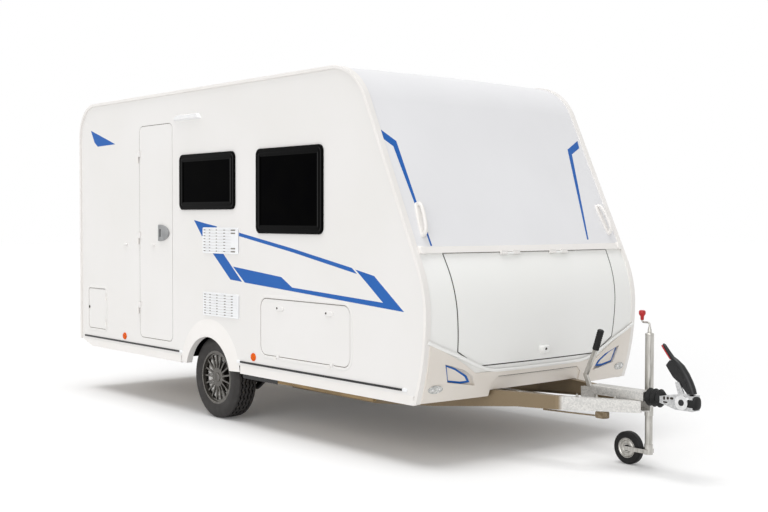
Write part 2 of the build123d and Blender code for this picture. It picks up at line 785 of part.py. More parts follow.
# Roof hatch frame, its lid and the heater flue; the lid turns on barrels behind its rear edge
roof_lid_z = roof_z - skin_inset + roof_frame_high + panel_gap
roof_hinge_x = roof_hatch_x - roof_hatch_long / 2 - roof_frame_wide - hinge_r - hinge_gap
roof_hinge_y = roof_hatch_wide / 4
roof_hinge_z = roof_lid_z - hinge_gap
with BuildPart() as roof_hatch_frame:
    with BuildSketch(Plane.XY.offset(roof_z - skin_inset)):
        with Locations((roof_hatch_x, 0)):
            RectangleRounded(
                roof_hatch_long + 2 * roof_frame_wide,
                roof_hatch_wide + 2 * roof_frame_wide,
                roof_hatch_corner_r + roof_frame_wide,
            )
            RectangleRounded(roof_hatch_long, roof_hatch_wide, roof_hatch_corner_r, mode=Mode.SUBTRACT)
    extrude(amount=roof_frame_high)
    for side in (-1, 1):
        barrel_y = side * (roof_hinge_y + knuckle_half + seam / 2)
        with Locations((roof_hinge_x, barrel_y, roof_hinge_z)):
            Cylinder(hinge_r, knuckle_half, rotation=(90, 0, 0))
        with Locations((roof_hinge_x + hinge_r, barrel_y, roof_hinge_z - hinge_r)):
            Box(2 * hinge_r, knuckle_half, hinge_r)
roof_hatch_frame.part.label = "roof_hatch_frame"
export_step(roof_hatch_frame.part, "parts/roof_hatch_frame.step")

with BuildPart() as roof_hatch_lid:
    with BuildSketch(Plane.XY.offset(roof_lid_z)):
        with Locations((roof_hatch_x, 0)):
            RectangleRounded(
                roof_hatch_long + 2 * roof_frame_wide,
                roof_hatch_wide + 2 * roof_frame_wide,
                roof_hatch_corner_r + roof_frame_wide,
            )
    extrude(amount=roof_lid_high, taper=roof_lid_slope)
    with BuildSketch(Plane.XY.offset(roof_lid_z)):
        with Locations((roof_hatch_x, 0)):
            RectangleRounded(
                roof_hatch_long + 2 * roof_frame_wide - 4 * roof_lid_wall,
                roof_hatch_wide + 2 * roof_frame_wide - 4 * roof_lid_wall,
                roof_hatch_corner_r + roof_frame_wide - 2 * roof_lid_wall,
            )
    extrude(amount=roof_lid_high - roof_lid_wall, taper=roof_lid_slope, mode=Mode.SUBTRACT)
    for side in (-1, 1):
        with Locations((roof_hinge_x, side * roof_hinge_y, roof_hinge_z)):
            Cylinder(hinge_r, knuckle_half, rotation=(90, 0, 0))
        with Locations((roof_hinge_x + hinge_r, side * roof_hinge_y, roof_lid_z + hinge_r / 4)):
            Box(2 * hinge_r, knuckle_half, hinge_r / 2)
roof_hatch_lid.part.label = "roof_hatch_lid"
export_step(roof_hatch_lid.part, "parts/roof_hatch_lid.step")

with BuildPart() as roof_flue:
    with BuildSketch(Plane.XY.offset(roof_z - skin_inset)):
        with Locations((flue_x, flue_y)):
            Circle(flue_r)
    extrude(amount=flue_high, taper=flue_slope)
roof_flue.part.label = "roof_flue"
export_step(roof_flue.part, "parts/roof_flue.step")

# Entry door with its hinge arms, hinged behind the doorway's rear edge
door_axis_x = door_rear_x - door_hinge_back
door_axis_y = -(body_half + hinge_r + hinge_gap / 2)
with BuildPart() as entry_door:
    with BuildSketch(right_plane(inner_half)):
        opening(door_row, -panel_gap, door_corner_r, Mode.ADD)
    extrude(amount=wall)
    arm_end_x = door_rear_x + panel_gap + door_leaf_wide
    for z in door_hinge_z:
        arm_z = z + door_knuckle / 2 + seam
        with Locations((door_axis_x, door_axis_y, arm_z)):
            Cylinder(hinge_r, door_knuckle)
        with Locations(((door_axis_x + arm_end_x) / 2, door_axis_y, arm_z)):
            Box(arm_end_x - door_axis_x, leaf_thick, door_knuckle)
        with Locations((arm_end_x - door_leaf_wide / 4, (door_axis_y - body_half) / 2, arm_z)):
            Box(door_leaf_wide / 2, -door_axis_y - body_half, door_knuckle)
entry_door.part.label = "entry_door"
export_step(entry_door.part, "parts/entry_door.step")

# Door handle: a D-shaped moulding with a hand recess
handle_front_x = -1367
handle_rear_x = -1528
handle_low_z = 1371
handle_top_z = 1507
handle_proud = 20
handle_reach = handle_front_x - handle_rear_x
handle_edge = 7
handle_slot_wide = 26
with BuildPart() as door_handle:
    with BuildSketch(right_plane(body_half)):
        with Locations((handle_rear_x, (handle_low_z + handle_top_z) / 2)):
            Ellipse(handle_reach, (handle_top_z - handle_low_z) / 2)
        with Locations((handle_front_x, (handle_low_z + handle_top_z) / 2)):
            Rectangle(2 * handle_reach, handle_top_z - handle_low_z, mode=Mode.INTERSECT)
    extrude(amount=handle_proud)
    chamfer(door_handle.faces().sort_by(Axis.Y)[0].edges(), handle_edge)
    with BuildSketch(right_plane(body_half + handle_proud / 4)):
        with Locations((handle_rear_x + 2 * handle_proud, (handle_low_z + handle_top_z) / 2)):
            RectangleRounded(handle_slot_wide, (handle_top_z - handle_low_z) / 2, handle_slot_wide / 3)
    extrude(amount=handle_proud, mode=Mode.SUBTRACT)
door_handle.part.label = "door_handle"
export_step(door_handle.part, "parts/door_handle.step")

# Side locker door, hinged along its foot, and the service hatch, hinged at its front edge
small_hinge_y = -(body_half + small_hinge_r + hinge_gap)
locker_hinge_inset = locker_hinge_share * (locker_front_x - locker_rear_x)
locker_hinge_x = (locker_rear_x + locker_hinge_inset, locker_front_x - locker_hinge_inset)
locker_hinge_z = locker_base_z - hinge_gap
hatch_hinge_x = hatch_front_x + hinge_gap
hatch_hinge_z = (hatch_base_z + locker_corner_r, hatch_top_z - locker_corner_r)
with BuildPart() as side_locker_door:
    with BuildSketch(right_plane(inner_half)):
        opening(locker_row, -panel_gap, locker_corner_r, Mode.ADD)
    extrude(amount=wall)
    for x in locker_hinge_x:
        barrel_x = x + knuckle_half / 2 + seam / 2
        with Locations((barrel_x, small_hinge_y, locker_hinge_z)):
            Cylinder(small_hinge_r, knuckle_half, rotation=(0, 90, 0))
        with Locations((barrel_x, -body_half - small_hinge_r, locker_hinge_z + small_leaf_wide / 2)):
            Box(knuckle_half, 2 * small_hinge_r, small_leaf_wide)
side_locker_door.part.label = "side_locker_door"
export_step(side_locker_door.part, "parts/side_locker_door.step")

with BuildPart() as service_hatch:
    with BuildSketch(right_plane(inner_half)):
        opening(hatch_row, -panel_gap, hatch_corner_r, Mode.ADD)
    extrude(amount=wall)
    for z in hatch_hinge_z:
        barrel_z = z + knuckle_half / 2 + seam / 2
        with Locations((hatch_hinge_x, small_hinge_y, barrel_z)):
            Cylinder(small_hinge_r, knuckle_half)
        with Locations((hatch_hinge_x - small_leaf_wide / 2, -body_half - small_hinge_r, barrel_z)):
            Box(small_leaf_wide, 2 * small_hinge_r, knuckle_half)
service_hatch.part.label = "service_hatch"
export_step(service_hatch.part, "parts/service_hatch.step")

# The fixed halves of the side's hinges
with BuildPart() as wall_hinges:
    for z in door_hinge_z:
        with Locations((door_axis_x, door_axis_y, z - door_knuckle / 2)):
            Cylinder(hinge_r, door_knuckle)
        with Locations((door_axis_x - door_leaf_wide / 2, -body_half - leaf_thick, z - door_knuckle / 2)):
            Box(door_leaf_wide, 2 * leaf_thick, door_knuckle)
    for x in locker_hinge_x:
        barrel_x = x - knuckle_half / 2 - seam / 2
        with Locations((barrel_x, small_hinge_y, locker_hinge_z)):
            Cylinder(small_hinge_r, knuckle_half, rotation=(0, 90, 0))
        with Locations((barrel_x, -body_half - small_hinge_r, locker_hinge_z - small_leaf_wide / 2)):
            Box(knuckle_half, 2 * small_hinge_r, small_leaf_wide)
    for z in hatch_hinge_z:
        barrel_z = z - knuckle_half / 2 - seam / 2
        with Locations((hatch_hinge_x, small_hinge_y, barrel_z)):
            Cylinder(small_hinge_r, knuckle_half)
        with Locations((hatch_hinge_x + small_leaf_wide / 2, -body_half - small_hinge_r, barrel_z)):
            Box(small_leaf_wide, 2 * small_hinge_r, knuckle_half)
wall_hinges.part.label = "wall_hinges"
export_step(wall_hinges.part, "parts/wall_hinges.step")

# Chassis: two bent C beams from the nose of the drawbar to the rear, with cross members
beam_route = (
    (beam_nose_x, beam_nose_half),
    (beam_bend_x, beam_bend_half),
    (beam_rail_x, beam_rail_half),
    (beam_rear_x, beam_rail_half),
)


def beam_strip(depth):
    """Plan of a beam, from its outer face inwards."""
    with BuildLine() as run:
        Polyline(*beam_route)
        offset(amount=depth, side=Side.LEFT, kind=Kind.INTERSECTION)
    return run.edges()


def cut_below_beam(lift):
    """Cuts away what is lower than the beams' lower edge, raised by a lift."""
    with BuildSketch(right_plane(-body_half)) as below:
        with BuildLine():
            Polyline(
                *[(x, z + lift) for x, z in beam_foot],
                (beam_rear_x, 0),
                (beam_nose_x, 0),
                close=True,
            )
        make_face()
    extrude(below.sketch, amount=2 * body_half, mode=Mode.SUBTRACT)


with BuildPart() as beam_hollow:
    with BuildSketch(Plane.XY):
        make_face(beam_strip(beam_flange + overrun))
        make_face(beam_strip(beam_web), mode=Mode.SUBTRACT)
    extrude(amount=floor_base_z - beam_web)
    cut_below_beam(beam_web)

with BuildPart() as chassis_beams:
    with BuildSketch(Plane.XY):
        make_face(beam_strip(beam_flange))
    extrude(amount=floor_base_z)
    cut_below_beam(0)
    add(beam_hollow.part, mode=Mode.SUBTRACT)
    mirror(about=Plane.XZ)
chassis_beams.part.label = "chassis_beams"
export_step(chassis_beams.part, "parts/chassis_beams.step")

# Cross members, with brackets and pins for the corner steadies
brake_rod_z = 392
brake_rod_r = 6
steady_inset = 224
steady_y = body_half - steady_inset
steady_x = (-2230, 1000)
steady_z = 420
steady_wide = 46
steady_pin_r = 8
bracket_thick = 6
with BuildPart() as cross_members:
    for x in cross_member_x:
        with Locations((x, 0, floor_base_z - beam_high / 2)):
            Box(cross_member_long, 2 * (beam_rail_half - beam_web), beam_high - 2 * beam_web)
    with Locations(((axle_x + beam_bend_x) / 2, 0, brake_rod_z)):
        Cylinder(2 * brake_rod_r, beam_bend_x - axle_x, rotation=(0, 90, 0), mode=Mode.SUBTRACT)
    for x in steady_x:
        for side in (-1, 1):
            with Locations((x, side * steady_y, steady_z)):
                Cylinder(steady_pin_r, steady_wide + 2 * bracket_thick, rotation=(90, 0, 0))
            for edge in (-1, 1):
                plate_y = side * steady_y + edge * (steady_wide / 2 + hinge_gap / 2 + bracket_thick / 2)
                with Locations((x, plate_y, (steady_z - 2 * steady_pin_r + floor_base_z) / 2)):
                    Box(6 * steady_pin_r, bracket_thick, floor_base_z - steady_z + 2 * steady_pin_r)
cross_members.part.label = "cross_members"
export_step(cross_members.part, "parts/cross_members.step")

# Axle: a hexagonal torsion tube, trailing arms, stub axles and brake back plates
axle_tube_x = -600
axle_tube_r = 50
axle_tube_inset = 324
axle_tube_half = body_half - axle_tube_inset
arm_thick = 26
arm_half_high = 34
stub_axle_r = 16
bearing_clear = 0.1
drum_r = 116
drum_inset = 252
drum_inner_y = body_half - drum_inset
drum_long = 80
backplate_inset = 266
backplate_y = body_half - backplate_inset
backplate_thick = 8
axle_tube_z = floor_base_z - beam_high - axle_tube_r
with BuildPart() as axle:
    with BuildSketch(right_plane(-axle_tube_half)):
        with Locations((axle_tube_x, axle_tube_z)):
            RegularPolygon(axle_tube_r, 6, major_radius=False)
    extrude(amount=2 * axle_tube_half)
    with Locations((axle_tube_x, 0, floor_base_z - beam_high / 2)):
        Box(axle_tube_r, axle_tube_r, beam_high)
    with BuildSketch(right_plane(axle_tube_half)):
        with Locations((axle_x, tyre_r)):
            Circle(arm_half_high)
        with Locations((axle_tube_x, axle_tube_z)):
            Circle(axle_tube_r)
        make_hull()
    extrude(amount=arm_thick)
    with BuildSketch(right_plane(axle_tube_half)):
        with Locations((axle_x, tyre_r)):
            Circle(stub_axle_r)
    extrude(amount=drum_inner_y + drum_long - axle_tube_half)
    with BuildSketch(right_plane(backplate_y)):
        with Locations((axle_x, tyre_r)):
            Circle(drum_r)
    extrude(amount=backplate_thick)
    mirror(about=Plane.XZ)
axle.part.label = "axle"
export_step(axle.part, "parts/axle.step")

# Road wheels: tyre, rim with spokes, and the brake drum that turns with them
tyre_shoulder = 28
tyre_bulge = 10
rim_bead_r = 190
wheel_face_inset = 22
wheel_face_y = tyre_outer_y - wheel_face_inset
wheel_face_deep = 16
hub_r = 62
spoke_count = 17
window_inner_r = 72
window_outer_r = 176
window_inner_half = 7
window_outer_half = 26
tyre_mid_y = tyre_outer_y - tyre_wide / 2
with BuildPart() as tyre_right:
    with BuildSketch(Plane.YZ.offset(axle_x)):
        with BuildLine():
            tread_half = tyre_wide / 2 - tyre_shoulder
            bead_half = tyre_wide / 2 - tyre_bulge
            tread = Line((-tyre_mid_y - tread_half, 2 * tyre_r), (-tyre_mid_y + tread_half, 2 * tyre_r))
            right = ThreePointArc(
                tread @ 1,
                (-tyre_mid_y + tyre_wide / 2, tyre_r + (tyre_r + rim_r) / 2),
                (-tyre_mid_y + bead_half, tyre_r + rim_r),
            )
            left = ThreePointArc(
                tread @ 0,
                (-tyre_mid_y - tyre_wide / 2, tyre_r + (tyre_r + rim_r) / 2),
                (-tyre_mid_y - bead_half, tyre_r + rim_r),
            )
            Line(right @ 1, left @ 1)
        make_face()
    revolve(axis=Axis((axle_x, 0, tyre_r), (0, 1, 0)))
tyre_right.part.label = "tyre_right"
export_step(tyre_right.part, "parts/tyre_right.step")

with BuildPart() as wheel_right:
    with BuildSketch(right_plane(tyre_mid_y - tyre_wide / 2 + tyre_bulge)):
        with Locations((axle_x, tyre_r)):
            Circle(rim_r - seam)
            Circle(rim_bead_r, mode=Mode.SUBTRACT)
    extrude(amount=tyre_wide - 2 * tyre_bulge)
    with BuildSketch(right_plane(wheel_face_y - wheel_face_deep)):
        with Locations((axle_x, tyre_r)):
            Circle(rim_bead_r)
        with Locations((axle_x, tyre_r)):
            with PolarLocations(0, spoke_count):
                Polygon(
                    (window_inner_r, -window_inner_half),
                    (window_outer_r, -window_outer_half),
                    (window_outer_r, window_outer_half),
                    (window_inner_r, window_inner_half),
                    align=None,
                    mode=Mode.SUBTRACT,
                )
    extrude(amount=wheel_face_deep)
    with BuildSketch(right_plane(drum_inner_y)):
        with Locations((axle_x, tyre_r)):
            Circle(drum_r)
            Circle(stub_axle_r + bearing_clear, mode=Mode.SUBTRACT)
    extrude(amount=drum_long)
    with BuildSketch(right_plane(drum_inner_y + drum_long)):
        with Locations((axle_x, tyre_r)):
            Circle(hub_r)
    extrude(amount=wheel_face_y - drum_inner_y - drum_long)
wheel_right.part.label = "wheel_right"
export_step(wheel_right.part, "parts/wheel_right.step")

half_turn = Axis((axle_x, 0, 0), (0, 0, 1))
with BuildPart() as tyre_left:
    add(tyre_right.part.rotate(half_turn, 180))
tyre_left.part.label = "tyre_left"
export_step(tyre_left.part, "parts/tyre_left.step")

with BuildPart() as wheel_left:
    add(wheel_right.part.rotate(half_turn, 180))
wheel_left.part.label = "wheel_left"
export_step(wheel_left.part, "parts/wheel_left.step")

# Overrun housing with the sliding shaft, the gaiter and the coupling head
shaft_z = 476
shaft_r = 20
housing_nose_x = 2606
housing_long = 406
housing_rear_x = housing_nose_x - housing_long
housing_half = 48
housing_top_z = 508
housing_corner_r = 6
gaiter_long = 113
gaiter_nose_x = housing_nose_x + gaiter_long
gaiter_folds = 3
gaiter_r = 56
gaiter_neck_r = 40
coupling_long = 252
nose_rubber = 21
coupling_nose_x = gaiter_nose_x + coupling_long
head_nose_x = coupling_nose_x - nose_rubber
head_half = 38
head_top_z = 520
head_base_z = 428
ball_inset = 70  # behind the head's nose
ball_x = head_nose_x - ball_inset
ball_r = 25.2
ball_mouth_z = 455
pad_r = 44
pad_thick = 12
with BuildPart() as overrun_housing:
    with BuildSketch(Plane.YZ.offset(housing_rear_x)):
        with Locations((0, (floor_base_z + housing_top_z) / 2)):
            RectangleRounded(2 * housing_half, housing_top_z - floor_base_z, housing_corner_r)
    extrude(amount=housing_nose_x - housing_rear_x)
    with BuildSketch(Plane.YZ.offset(housing_rear_x)):
        with Locations((0, shaft_z)):
            Circle(shaft_r)
    extrude(amount=gaiter_nose_x - housing_rear_x)
overrun_housing.part.label = "overrun_housing"
export_step(overrun_housing.part, "parts/overrun_housing.step")

fold = (gaiter_nose_x - housing_nose_x) / gaiter_folds
with BuildPart() as gaiter:
    with BuildSketch(Plane.XZ):
        with BuildLine():
            bottom = Line(
                (housing_nose_x, shaft_z + shaft_r + seam), (gaiter_nose_x, shaft_z + shaft_r + seam)
            )
            points = [bottom @ 0]
            for turn in range(gaiter_folds):
                x = housing_nose_x + turn * fold
                points += [(x, shaft_z + gaiter_neck_r), (x + fold / 2, shaft_z + gaiter_r)]
            points += [(gaiter_nose_x, shaft_z + gaiter_neck_r), bottom @ 1]
            Polyline(*points)
        make_face()
    revolve(axis=Axis((0, 0, shaft_z), (1, 0, 0)))
gaiter.part.label = "gaiter"
export_step(gaiter.part, "parts/gaiter.step")

with BuildPart() as coupling_head:
    with BuildSketch(right_plane(-head_half)):
        with BuildLine():
            Polyline(
                (gaiter_nose_x, shaft_z + gaiter_neck_r / 2),
                (ball_x - ball_r, head_top_z),
                (head_nose_x, head_top_z),
                (head_nose_x, head_base_z),
                (ball_x - 2 * ball_r, head_base_z),
                (gaiter_nose_x, shaft_z - gaiter_neck_r / 2),
                close=True,
            )
        make_face()
    extrude(amount=2 * head_half)
    with Locations((ball_x, 0, ball_mouth_z)):
        Sphere(ball_r, mode=Mode.SUBTRACT)
    with BuildSketch(Plane.XY.offset(head_base_z - overrun)):
        with Locations((ball_x, 0)):
            Circle(ball_r)
    extrude(amount=ball_mouth_z - head_base_z + overrun, mode=Mode.SUBTRACT)
coupling_head.part.label = "coupling_head"
export_step(coupling_head.part, "parts/coupling_head.step")

with BuildPart() as coupling_bumper:
    with Locations(((head_nose_x + coupling_nose_x) / 2, 0, (head_top_z + head_base_z) / 2)):
        Box(coupling_nose_x - head_nose_x, 2 * head_half, head_top_z - head_base_z)
coupling_bumper.part.label = "coupling_bumper"
export_step(coupling_bumper.part, "parts/coupling_bumper.step")

with BuildPart() as stabiliser_pads:
    with BuildSketch(right_plane(head_half)):
        with Locations((ball_x, shaft_z)):
            Circle(pad_r)
    extrude(amount=pad_thick)
    mirror(about=Plane.XZ)
stabiliser_pads.part.label = "stabiliser_pads"
export_step(stabiliser_pads.part, "parts/stabiliser_pads.step")

# Coupling handle: a broad curved lever that rises and curls back
lever_half = 24
lever_back = ((70, head_top_z), (22, 658), (-48, 737))  # forward of the ball, height
lever_arm = ((-84, 745), (-142, 808), (-168, 806), (-105, 715))
lever_palm = ((-136, 680), (-82, 611), (-40, 586), (31, head_top_z))
with BuildPart() as coupling_handle:
    with BuildSketch(right_plane(-lever_half)):
        with BuildLine():
            back = ThreePointArc(*[(ball_x + x, z) for x, z in lever_back])
            Polyline(back @ 1, *[(ball_x + x, z) for x, z in (*lever_arm, *lever_palm)], back @ 0)
        make_face()
    extrude(amount=2 * lever_half)
coupling_handle.part.label = "coupling_handle"
export_step(coupling_handle.part, "parts/coupling_handle.step")

# Handbrake lever behind the housing, pulled on, with the brake rod
brake_foot = (2179, 432)
brake_bend = (2122, 559)
brake_neck = (2200, 729)
brake_tip = (2240, 853)
brake_bar = 26
brake_bar_thick = 20
brake_grip_r = 19
with BuildPart() as handbrake_lever:
    with BuildSketch(right_plane(-brake_bar_thick / 2)):
        with BuildLine():
            Polyline(brake_foot, brake_bend, brake_neck)
            offset(amount=brake_bar / 2, kind=Kind.ARC)
        make_face()
    extrude(amount=brake_bar_thick)
    grip_turn = degrees(atan2(brake_tip[0] - brake_neck[0], brake_tip[1] - brake_neck[1]))
    grip_long = sqrt((brake_tip[0] - brake_neck[0]) ** 2 + (brake_tip[1] - brake_neck[1]) ** 2)
    grip_centre = ((brake_neck[0] + brake_tip[0]) / 2, 0, (brake_neck[1] + brake_tip[1]) / 2)
    with Locations(Location(grip_centre, (0, grip_turn, 0))):
        Cylinder(brake_grip_r, grip_long)
handbrake_lever.part.label = "handbrake_lever"
export_step(handbrake_lever.part, "parts/handbrake_lever.step")

bracket_base_z = brake_rod_z - 2 * brake_rod_r
bracket_top_z = brake_foot[1] + 2 * brake_bar
with BuildPart() as brake_linkage:
    for side in (-1, 1):
        plate_y = side * (brake_bar_thick + leaf_thick) / 2
        with Locations((housing_rear_x - 2 * brake_bar, plate_y, (bracket_base_z + bracket_top_z) / 2)):
            Box(4 * brake_bar, leaf_thick, bracket_top_z - bracket_base_z)
    with BuildSketch(Plane.YZ.offset(axle_tube_x + axle_tube_r / 2)):
        with Locations((0, brake_rod_z)):
            Circle(brake_rod_r)
    extrude(amount=brake_foot[0] - axle_tube_x - axle_tube_r / 2)
brake_linkage.part.label = "brake_linkage"
export_step(brake_linkage.part, "parts/brake_linkage.step")

# Jockey wheel: clamp, outer tube, sliding leg, swivelling fork and wheel
mast_x = 2508
mast_y = 146
mast_r = 27
mast_bore_r = 24
mast_top_z = 833
mast_cap_high = 38
mast_base_z = 330
leg_clear = 0.1
leg_top_z = 650
leg_base_z = 150
swivel_pin_r = 10
swivel_base_z = 85
clamp_half = 30
clamp_base_z = 385
clamp_top_z = 440
crank_z = 916
crank_x = 2450
knob_base_z = 925
knob_top_z = 987
knob_r = 15
crank_r = 6
jockey_r = 105
jockey_wide = 50
jockey_rim_r = 58
jockey_rim_deep = 9
jockey_x = 2356
fork_half = 36
fork_thick = 6
fork_high = 26
with BuildPart() as jockey_clamp:
    with BuildSketch(Plane.XY.offset(clamp_base_z)):
        slope = (beam_bend_half - beam_nose_half) / (beam_nose_x - beam_bend_x)
        near_y = beam_nose_half + (beam_nose_x - mast_x - clamp_half) * slope
        far_y = beam_nose_half + (beam_nose_x - mast_x + clamp_half) * slope
        with BuildLine():
            Polyline(
                (mast_x + clamp_half, near_y),
                (mast_x + clamp_half, mast_y + clamp_half),
                (mast_x - clamp_half, mast_y + clamp_half),
                (mast_x - clamp_half, far_y),
                close=True,
            )
        make_face()
        with Locations((mast_x, mast_y)):
            Circle(mast_r + seam, mode=Mode.SUBTRACT)
    extrude(amount=clamp_top_z - clamp_base_z)
jockey_clamp.part.label = "jockey_clamp"
export_step(jockey_clamp.part, "parts/jockey_clamp.step")

with BuildPart() as jockey_mast:
    with BuildSketch(Plane.XY.offset(mast_base_z)):
        with Locations((mast_x, mast_y)):
            Circle(mast_r)
            Circle(mast_bore_r, mode=Mode.SUBTRACT)
    extrude(amount=mast_top_z - mast_base_z)
jockey_mast.part.label = "jockey_mast"
export_step(jockey_mast.part, "parts/jockey_mast.step")

with BuildPart() as jockey_crank:
    with Locations((mast_x, mast_y, mast_top_z + mast_cap_high / 2)):
        Cylinder(mast_r, mast_cap_high)
    with Locations((mast_x, mast_y, (mast_top_z + crank_z) / 2)):
        Cylinder(crank_r, crank_z - mast_top_z)
    with Locations(((mast_x + crank_x) / 2, mast_y, crank_z)):
        Box(mast_x - crank_x + 2 * crank_r, 2 * crank_r, 2 * crank_r)
    with Locations((crank_x, mast_y, (crank_z + knob_top_z) / 2)):
        Cylinder(crank_r, knob_top_z - crank_z)
jockey_crank.part.label = "jockey_crank"
export_step(jockey_crank.part, "parts/jockey_crank.step")

with BuildPart() as jockey_knob:
    with Locations((crank_x, mast_y, (knob_base_z + knob_top_z) / 2)):
        Cylinder(knob_r, knob_top_z - knob_base_z)
        Cylinder(crank_r + seam, knob_top_z - knob_base_z, mode=Mode.SUBTRACT)
jockey_knob.part.label = "jockey_knob"
export_step(jockey_knob.part, "parts/jockey_knob.step")

with BuildPart() as jockey_leg:
    with Locations((mast_x, mast_y, (leg_top_z + leg_base_z) / 2)):
        Cylinder(mast_bore_r - leg_clear, leg_top_z - leg_base_z)
    with Locations((mast_x, mast_y, (leg_base_z + swivel_base_z) / 2)):
        Cylinder(swivel_pin_r, leg_base_z - swivel_base_z)
jockey_leg.part.label = "jockey_leg"
export_step(jockey_leg.part, "parts/jockey_leg.step")

with BuildPart() as jockey_fork:
    with Locations((mast_x, mast_y, (leg_base_z - seam + swivel_base_z) / 2)):
        Cylinder(mast_r, leg_base_z - seam - swivel_base_z)
        Cylinder(swivel_pin_r + leg_clear, leg_base_z, mode=Mode.SUBTRACT)
    for side in (-1, 1):
        with Locations(((mast_x + jockey_x) / 2, mast_y + side * (fork_half - fork_thick / 2), jockey_r)):
            Box(mast_x - jockey_x + fork_high, fork_thick, fork_high)
    for side in (-1, 1):
        with Locations((mast_x, mast_y + side * (fork_half + 2 * swivel_pin_r) / 2, jockey_r)):
            Box(fork_high, fork_half - 2 * swivel_pin_r, fork_high)
    with Locations(Location((jockey_x, mast_y, jockey_r), (90, 0, 0))):
        Cylinder(swivel_pin_r, 2 * fork_half)
jockey_fork.part.label = "jockey_fork"
export_step(jockey_fork.part, "parts/jockey_fork.step")

with BuildPart() as jockey_wheel:
    with BuildSketch(right_plane(-mast_y - jockey_wide / 2)):
        with Locations((jockey_x, jockey_r)):
            Circle(jockey_r)
            Circle(swivel_pin_r + leg_clear, mode=Mode.SUBTRACT)
    extrude(amount=jockey_wide)
    chamfer(jockey_wheel.edges().filter_by(GeomType.CIRCLE).sort_by(SortBy.RADIUS)[-2:], jockey_wide / 5)
    for face_y in (-mast_y - jockey_wide / 2, -mast_y + jockey_wide / 2 - jockey_rim_deep):
        with BuildSketch(right_plane(face_y)):
            with Locations((jockey_x, jockey_r)):
                Circle(jockey_rim_r)
                Circle(2 * swivel_pin_r, mode=Mode.SUBTRACT)
        extrude(amount=jockey_rim_deep, mode=Mode.SUBTRACT)
jockey_wheel.part.label = "jockey_wheel"
export_step(jockey_wheel.part, "parts/jockey_wheel.step")

# Corner steadies, folded up under the floor: pivot inboard, foot outboard
steady_long = 430
steady_high = 22
steady_foot_r = 24
for end, x in zip(("rear", "front"), steady_x):
    foot_x = x + steady_long * (1 if end == "front" else -1)
    for hand, side in (("right", -1), ("left", 1)):
        with BuildPart() as steady:
            with Locations(((x + foot_x) / 2, side * steady_y, steady_z)):
                Box(steady_long, steady_wide, steady_high)
            with Locations((foot_x, side * steady_y, steady_z)):
                Cylinder(steady_foot_r, 2 * steady_wide, rotation=(90, 0, 0))
            with Locations((x, side * steady_y, steady_z)):
                Cylinder(2 * steady_pin_r, steady_wide, rotation=(90, 0, 0))
                Cylinder(steady_pin_r + bearing_clear, steady_wide, rotation=(90, 0, 0), mode=Mode.SUBTRACT)
        steady.part.label = f"steady_{end}_{hand}"
        export_step(steady.part, f"parts/steady_{end}_{hand}.step")
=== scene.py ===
import json
from math import cos, pi, radians, sin, sqrt

import bmesh
import bpy
import numpy as np
from mathutils import Matrix, Vector


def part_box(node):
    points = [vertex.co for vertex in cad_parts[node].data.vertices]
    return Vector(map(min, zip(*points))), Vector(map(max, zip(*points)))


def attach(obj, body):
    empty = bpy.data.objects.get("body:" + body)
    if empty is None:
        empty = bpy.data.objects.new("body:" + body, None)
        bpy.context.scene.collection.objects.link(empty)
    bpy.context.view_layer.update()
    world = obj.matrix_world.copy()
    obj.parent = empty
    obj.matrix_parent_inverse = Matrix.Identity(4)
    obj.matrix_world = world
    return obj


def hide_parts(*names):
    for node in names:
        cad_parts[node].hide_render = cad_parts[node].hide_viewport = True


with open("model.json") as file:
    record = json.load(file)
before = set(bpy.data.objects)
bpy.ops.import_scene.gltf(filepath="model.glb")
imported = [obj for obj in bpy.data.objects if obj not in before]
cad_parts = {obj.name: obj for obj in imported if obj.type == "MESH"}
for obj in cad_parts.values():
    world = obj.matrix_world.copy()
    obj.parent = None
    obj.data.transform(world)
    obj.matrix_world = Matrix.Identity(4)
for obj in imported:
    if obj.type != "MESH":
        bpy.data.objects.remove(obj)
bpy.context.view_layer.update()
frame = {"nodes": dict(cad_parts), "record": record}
nodes = frame["nodes"]
mm = 0.001  # lengths below are in millimetres, as in the drawing
print("frame loaded:", len(nodes), "pieces")

# Body shell, as the drawing has it: side view arcs, crown and trims
shell = dict(
    noseX=1726, noseZ=950, upperR=753, lowerR=1617, rake=25.3, browR=410,
    roofZ=2583, rearX=-2971, tailR=285, half=1024, crownR=10000,
    skinInset=8,
)
rakeSin = sin(radians(shell["rake"]))
rakeCos = cos(radians(shell["rake"]))
upperX = shell["noseX"] - shell["upperR"]
lowerX = shell["noseX"] - shell["lowerR"]
rakeReach = upperX * rakeCos + shell["noseZ"] * rakeSin + shell["upperR"]
browZ = shell["roofZ"] - shell["browR"]
browX = (rakeReach - shell["browR"] - browZ * rakeSin) / rakeCos
crownDrop = shell["crownR"] - sqrt(shell["crownR"] ** 2 - shell["half"] ** 2)
crownAxis = shell["noseX"] + crownDrop - shell["crownR"]


# Side edge of the front: lower arc, upper arc, straight rake and brow arc, each where it holds
def frontEdge(z, inset):
    z = np.asarray(z, float)
    lower = lowerX + np.sqrt(np.maximum((shell["lowerR"] - inset) ** 2 - (z - shell["noseZ"]) ** 2, 0))
    upperR = shell["upperR"] - inset
    upper = upperX + np.sqrt(np.maximum(upperR**2 - (z - shell["noseZ"]) ** 2, 0))
    straight = (rakeReach - inset - z * rakeSin) / rakeCos
    browR = shell["browR"] - inset
    brow = browX + np.sqrt(np.maximum(browR**2 - (z - browZ) ** 2, 0))
    x = np.where(z <= shell["noseZ"], lower, upper)
    x = np.where(z > shell["noseZ"] + upperR * rakeSin, straight, x)
    return np.where(z > browZ + browR * rakeSin, brow, x)


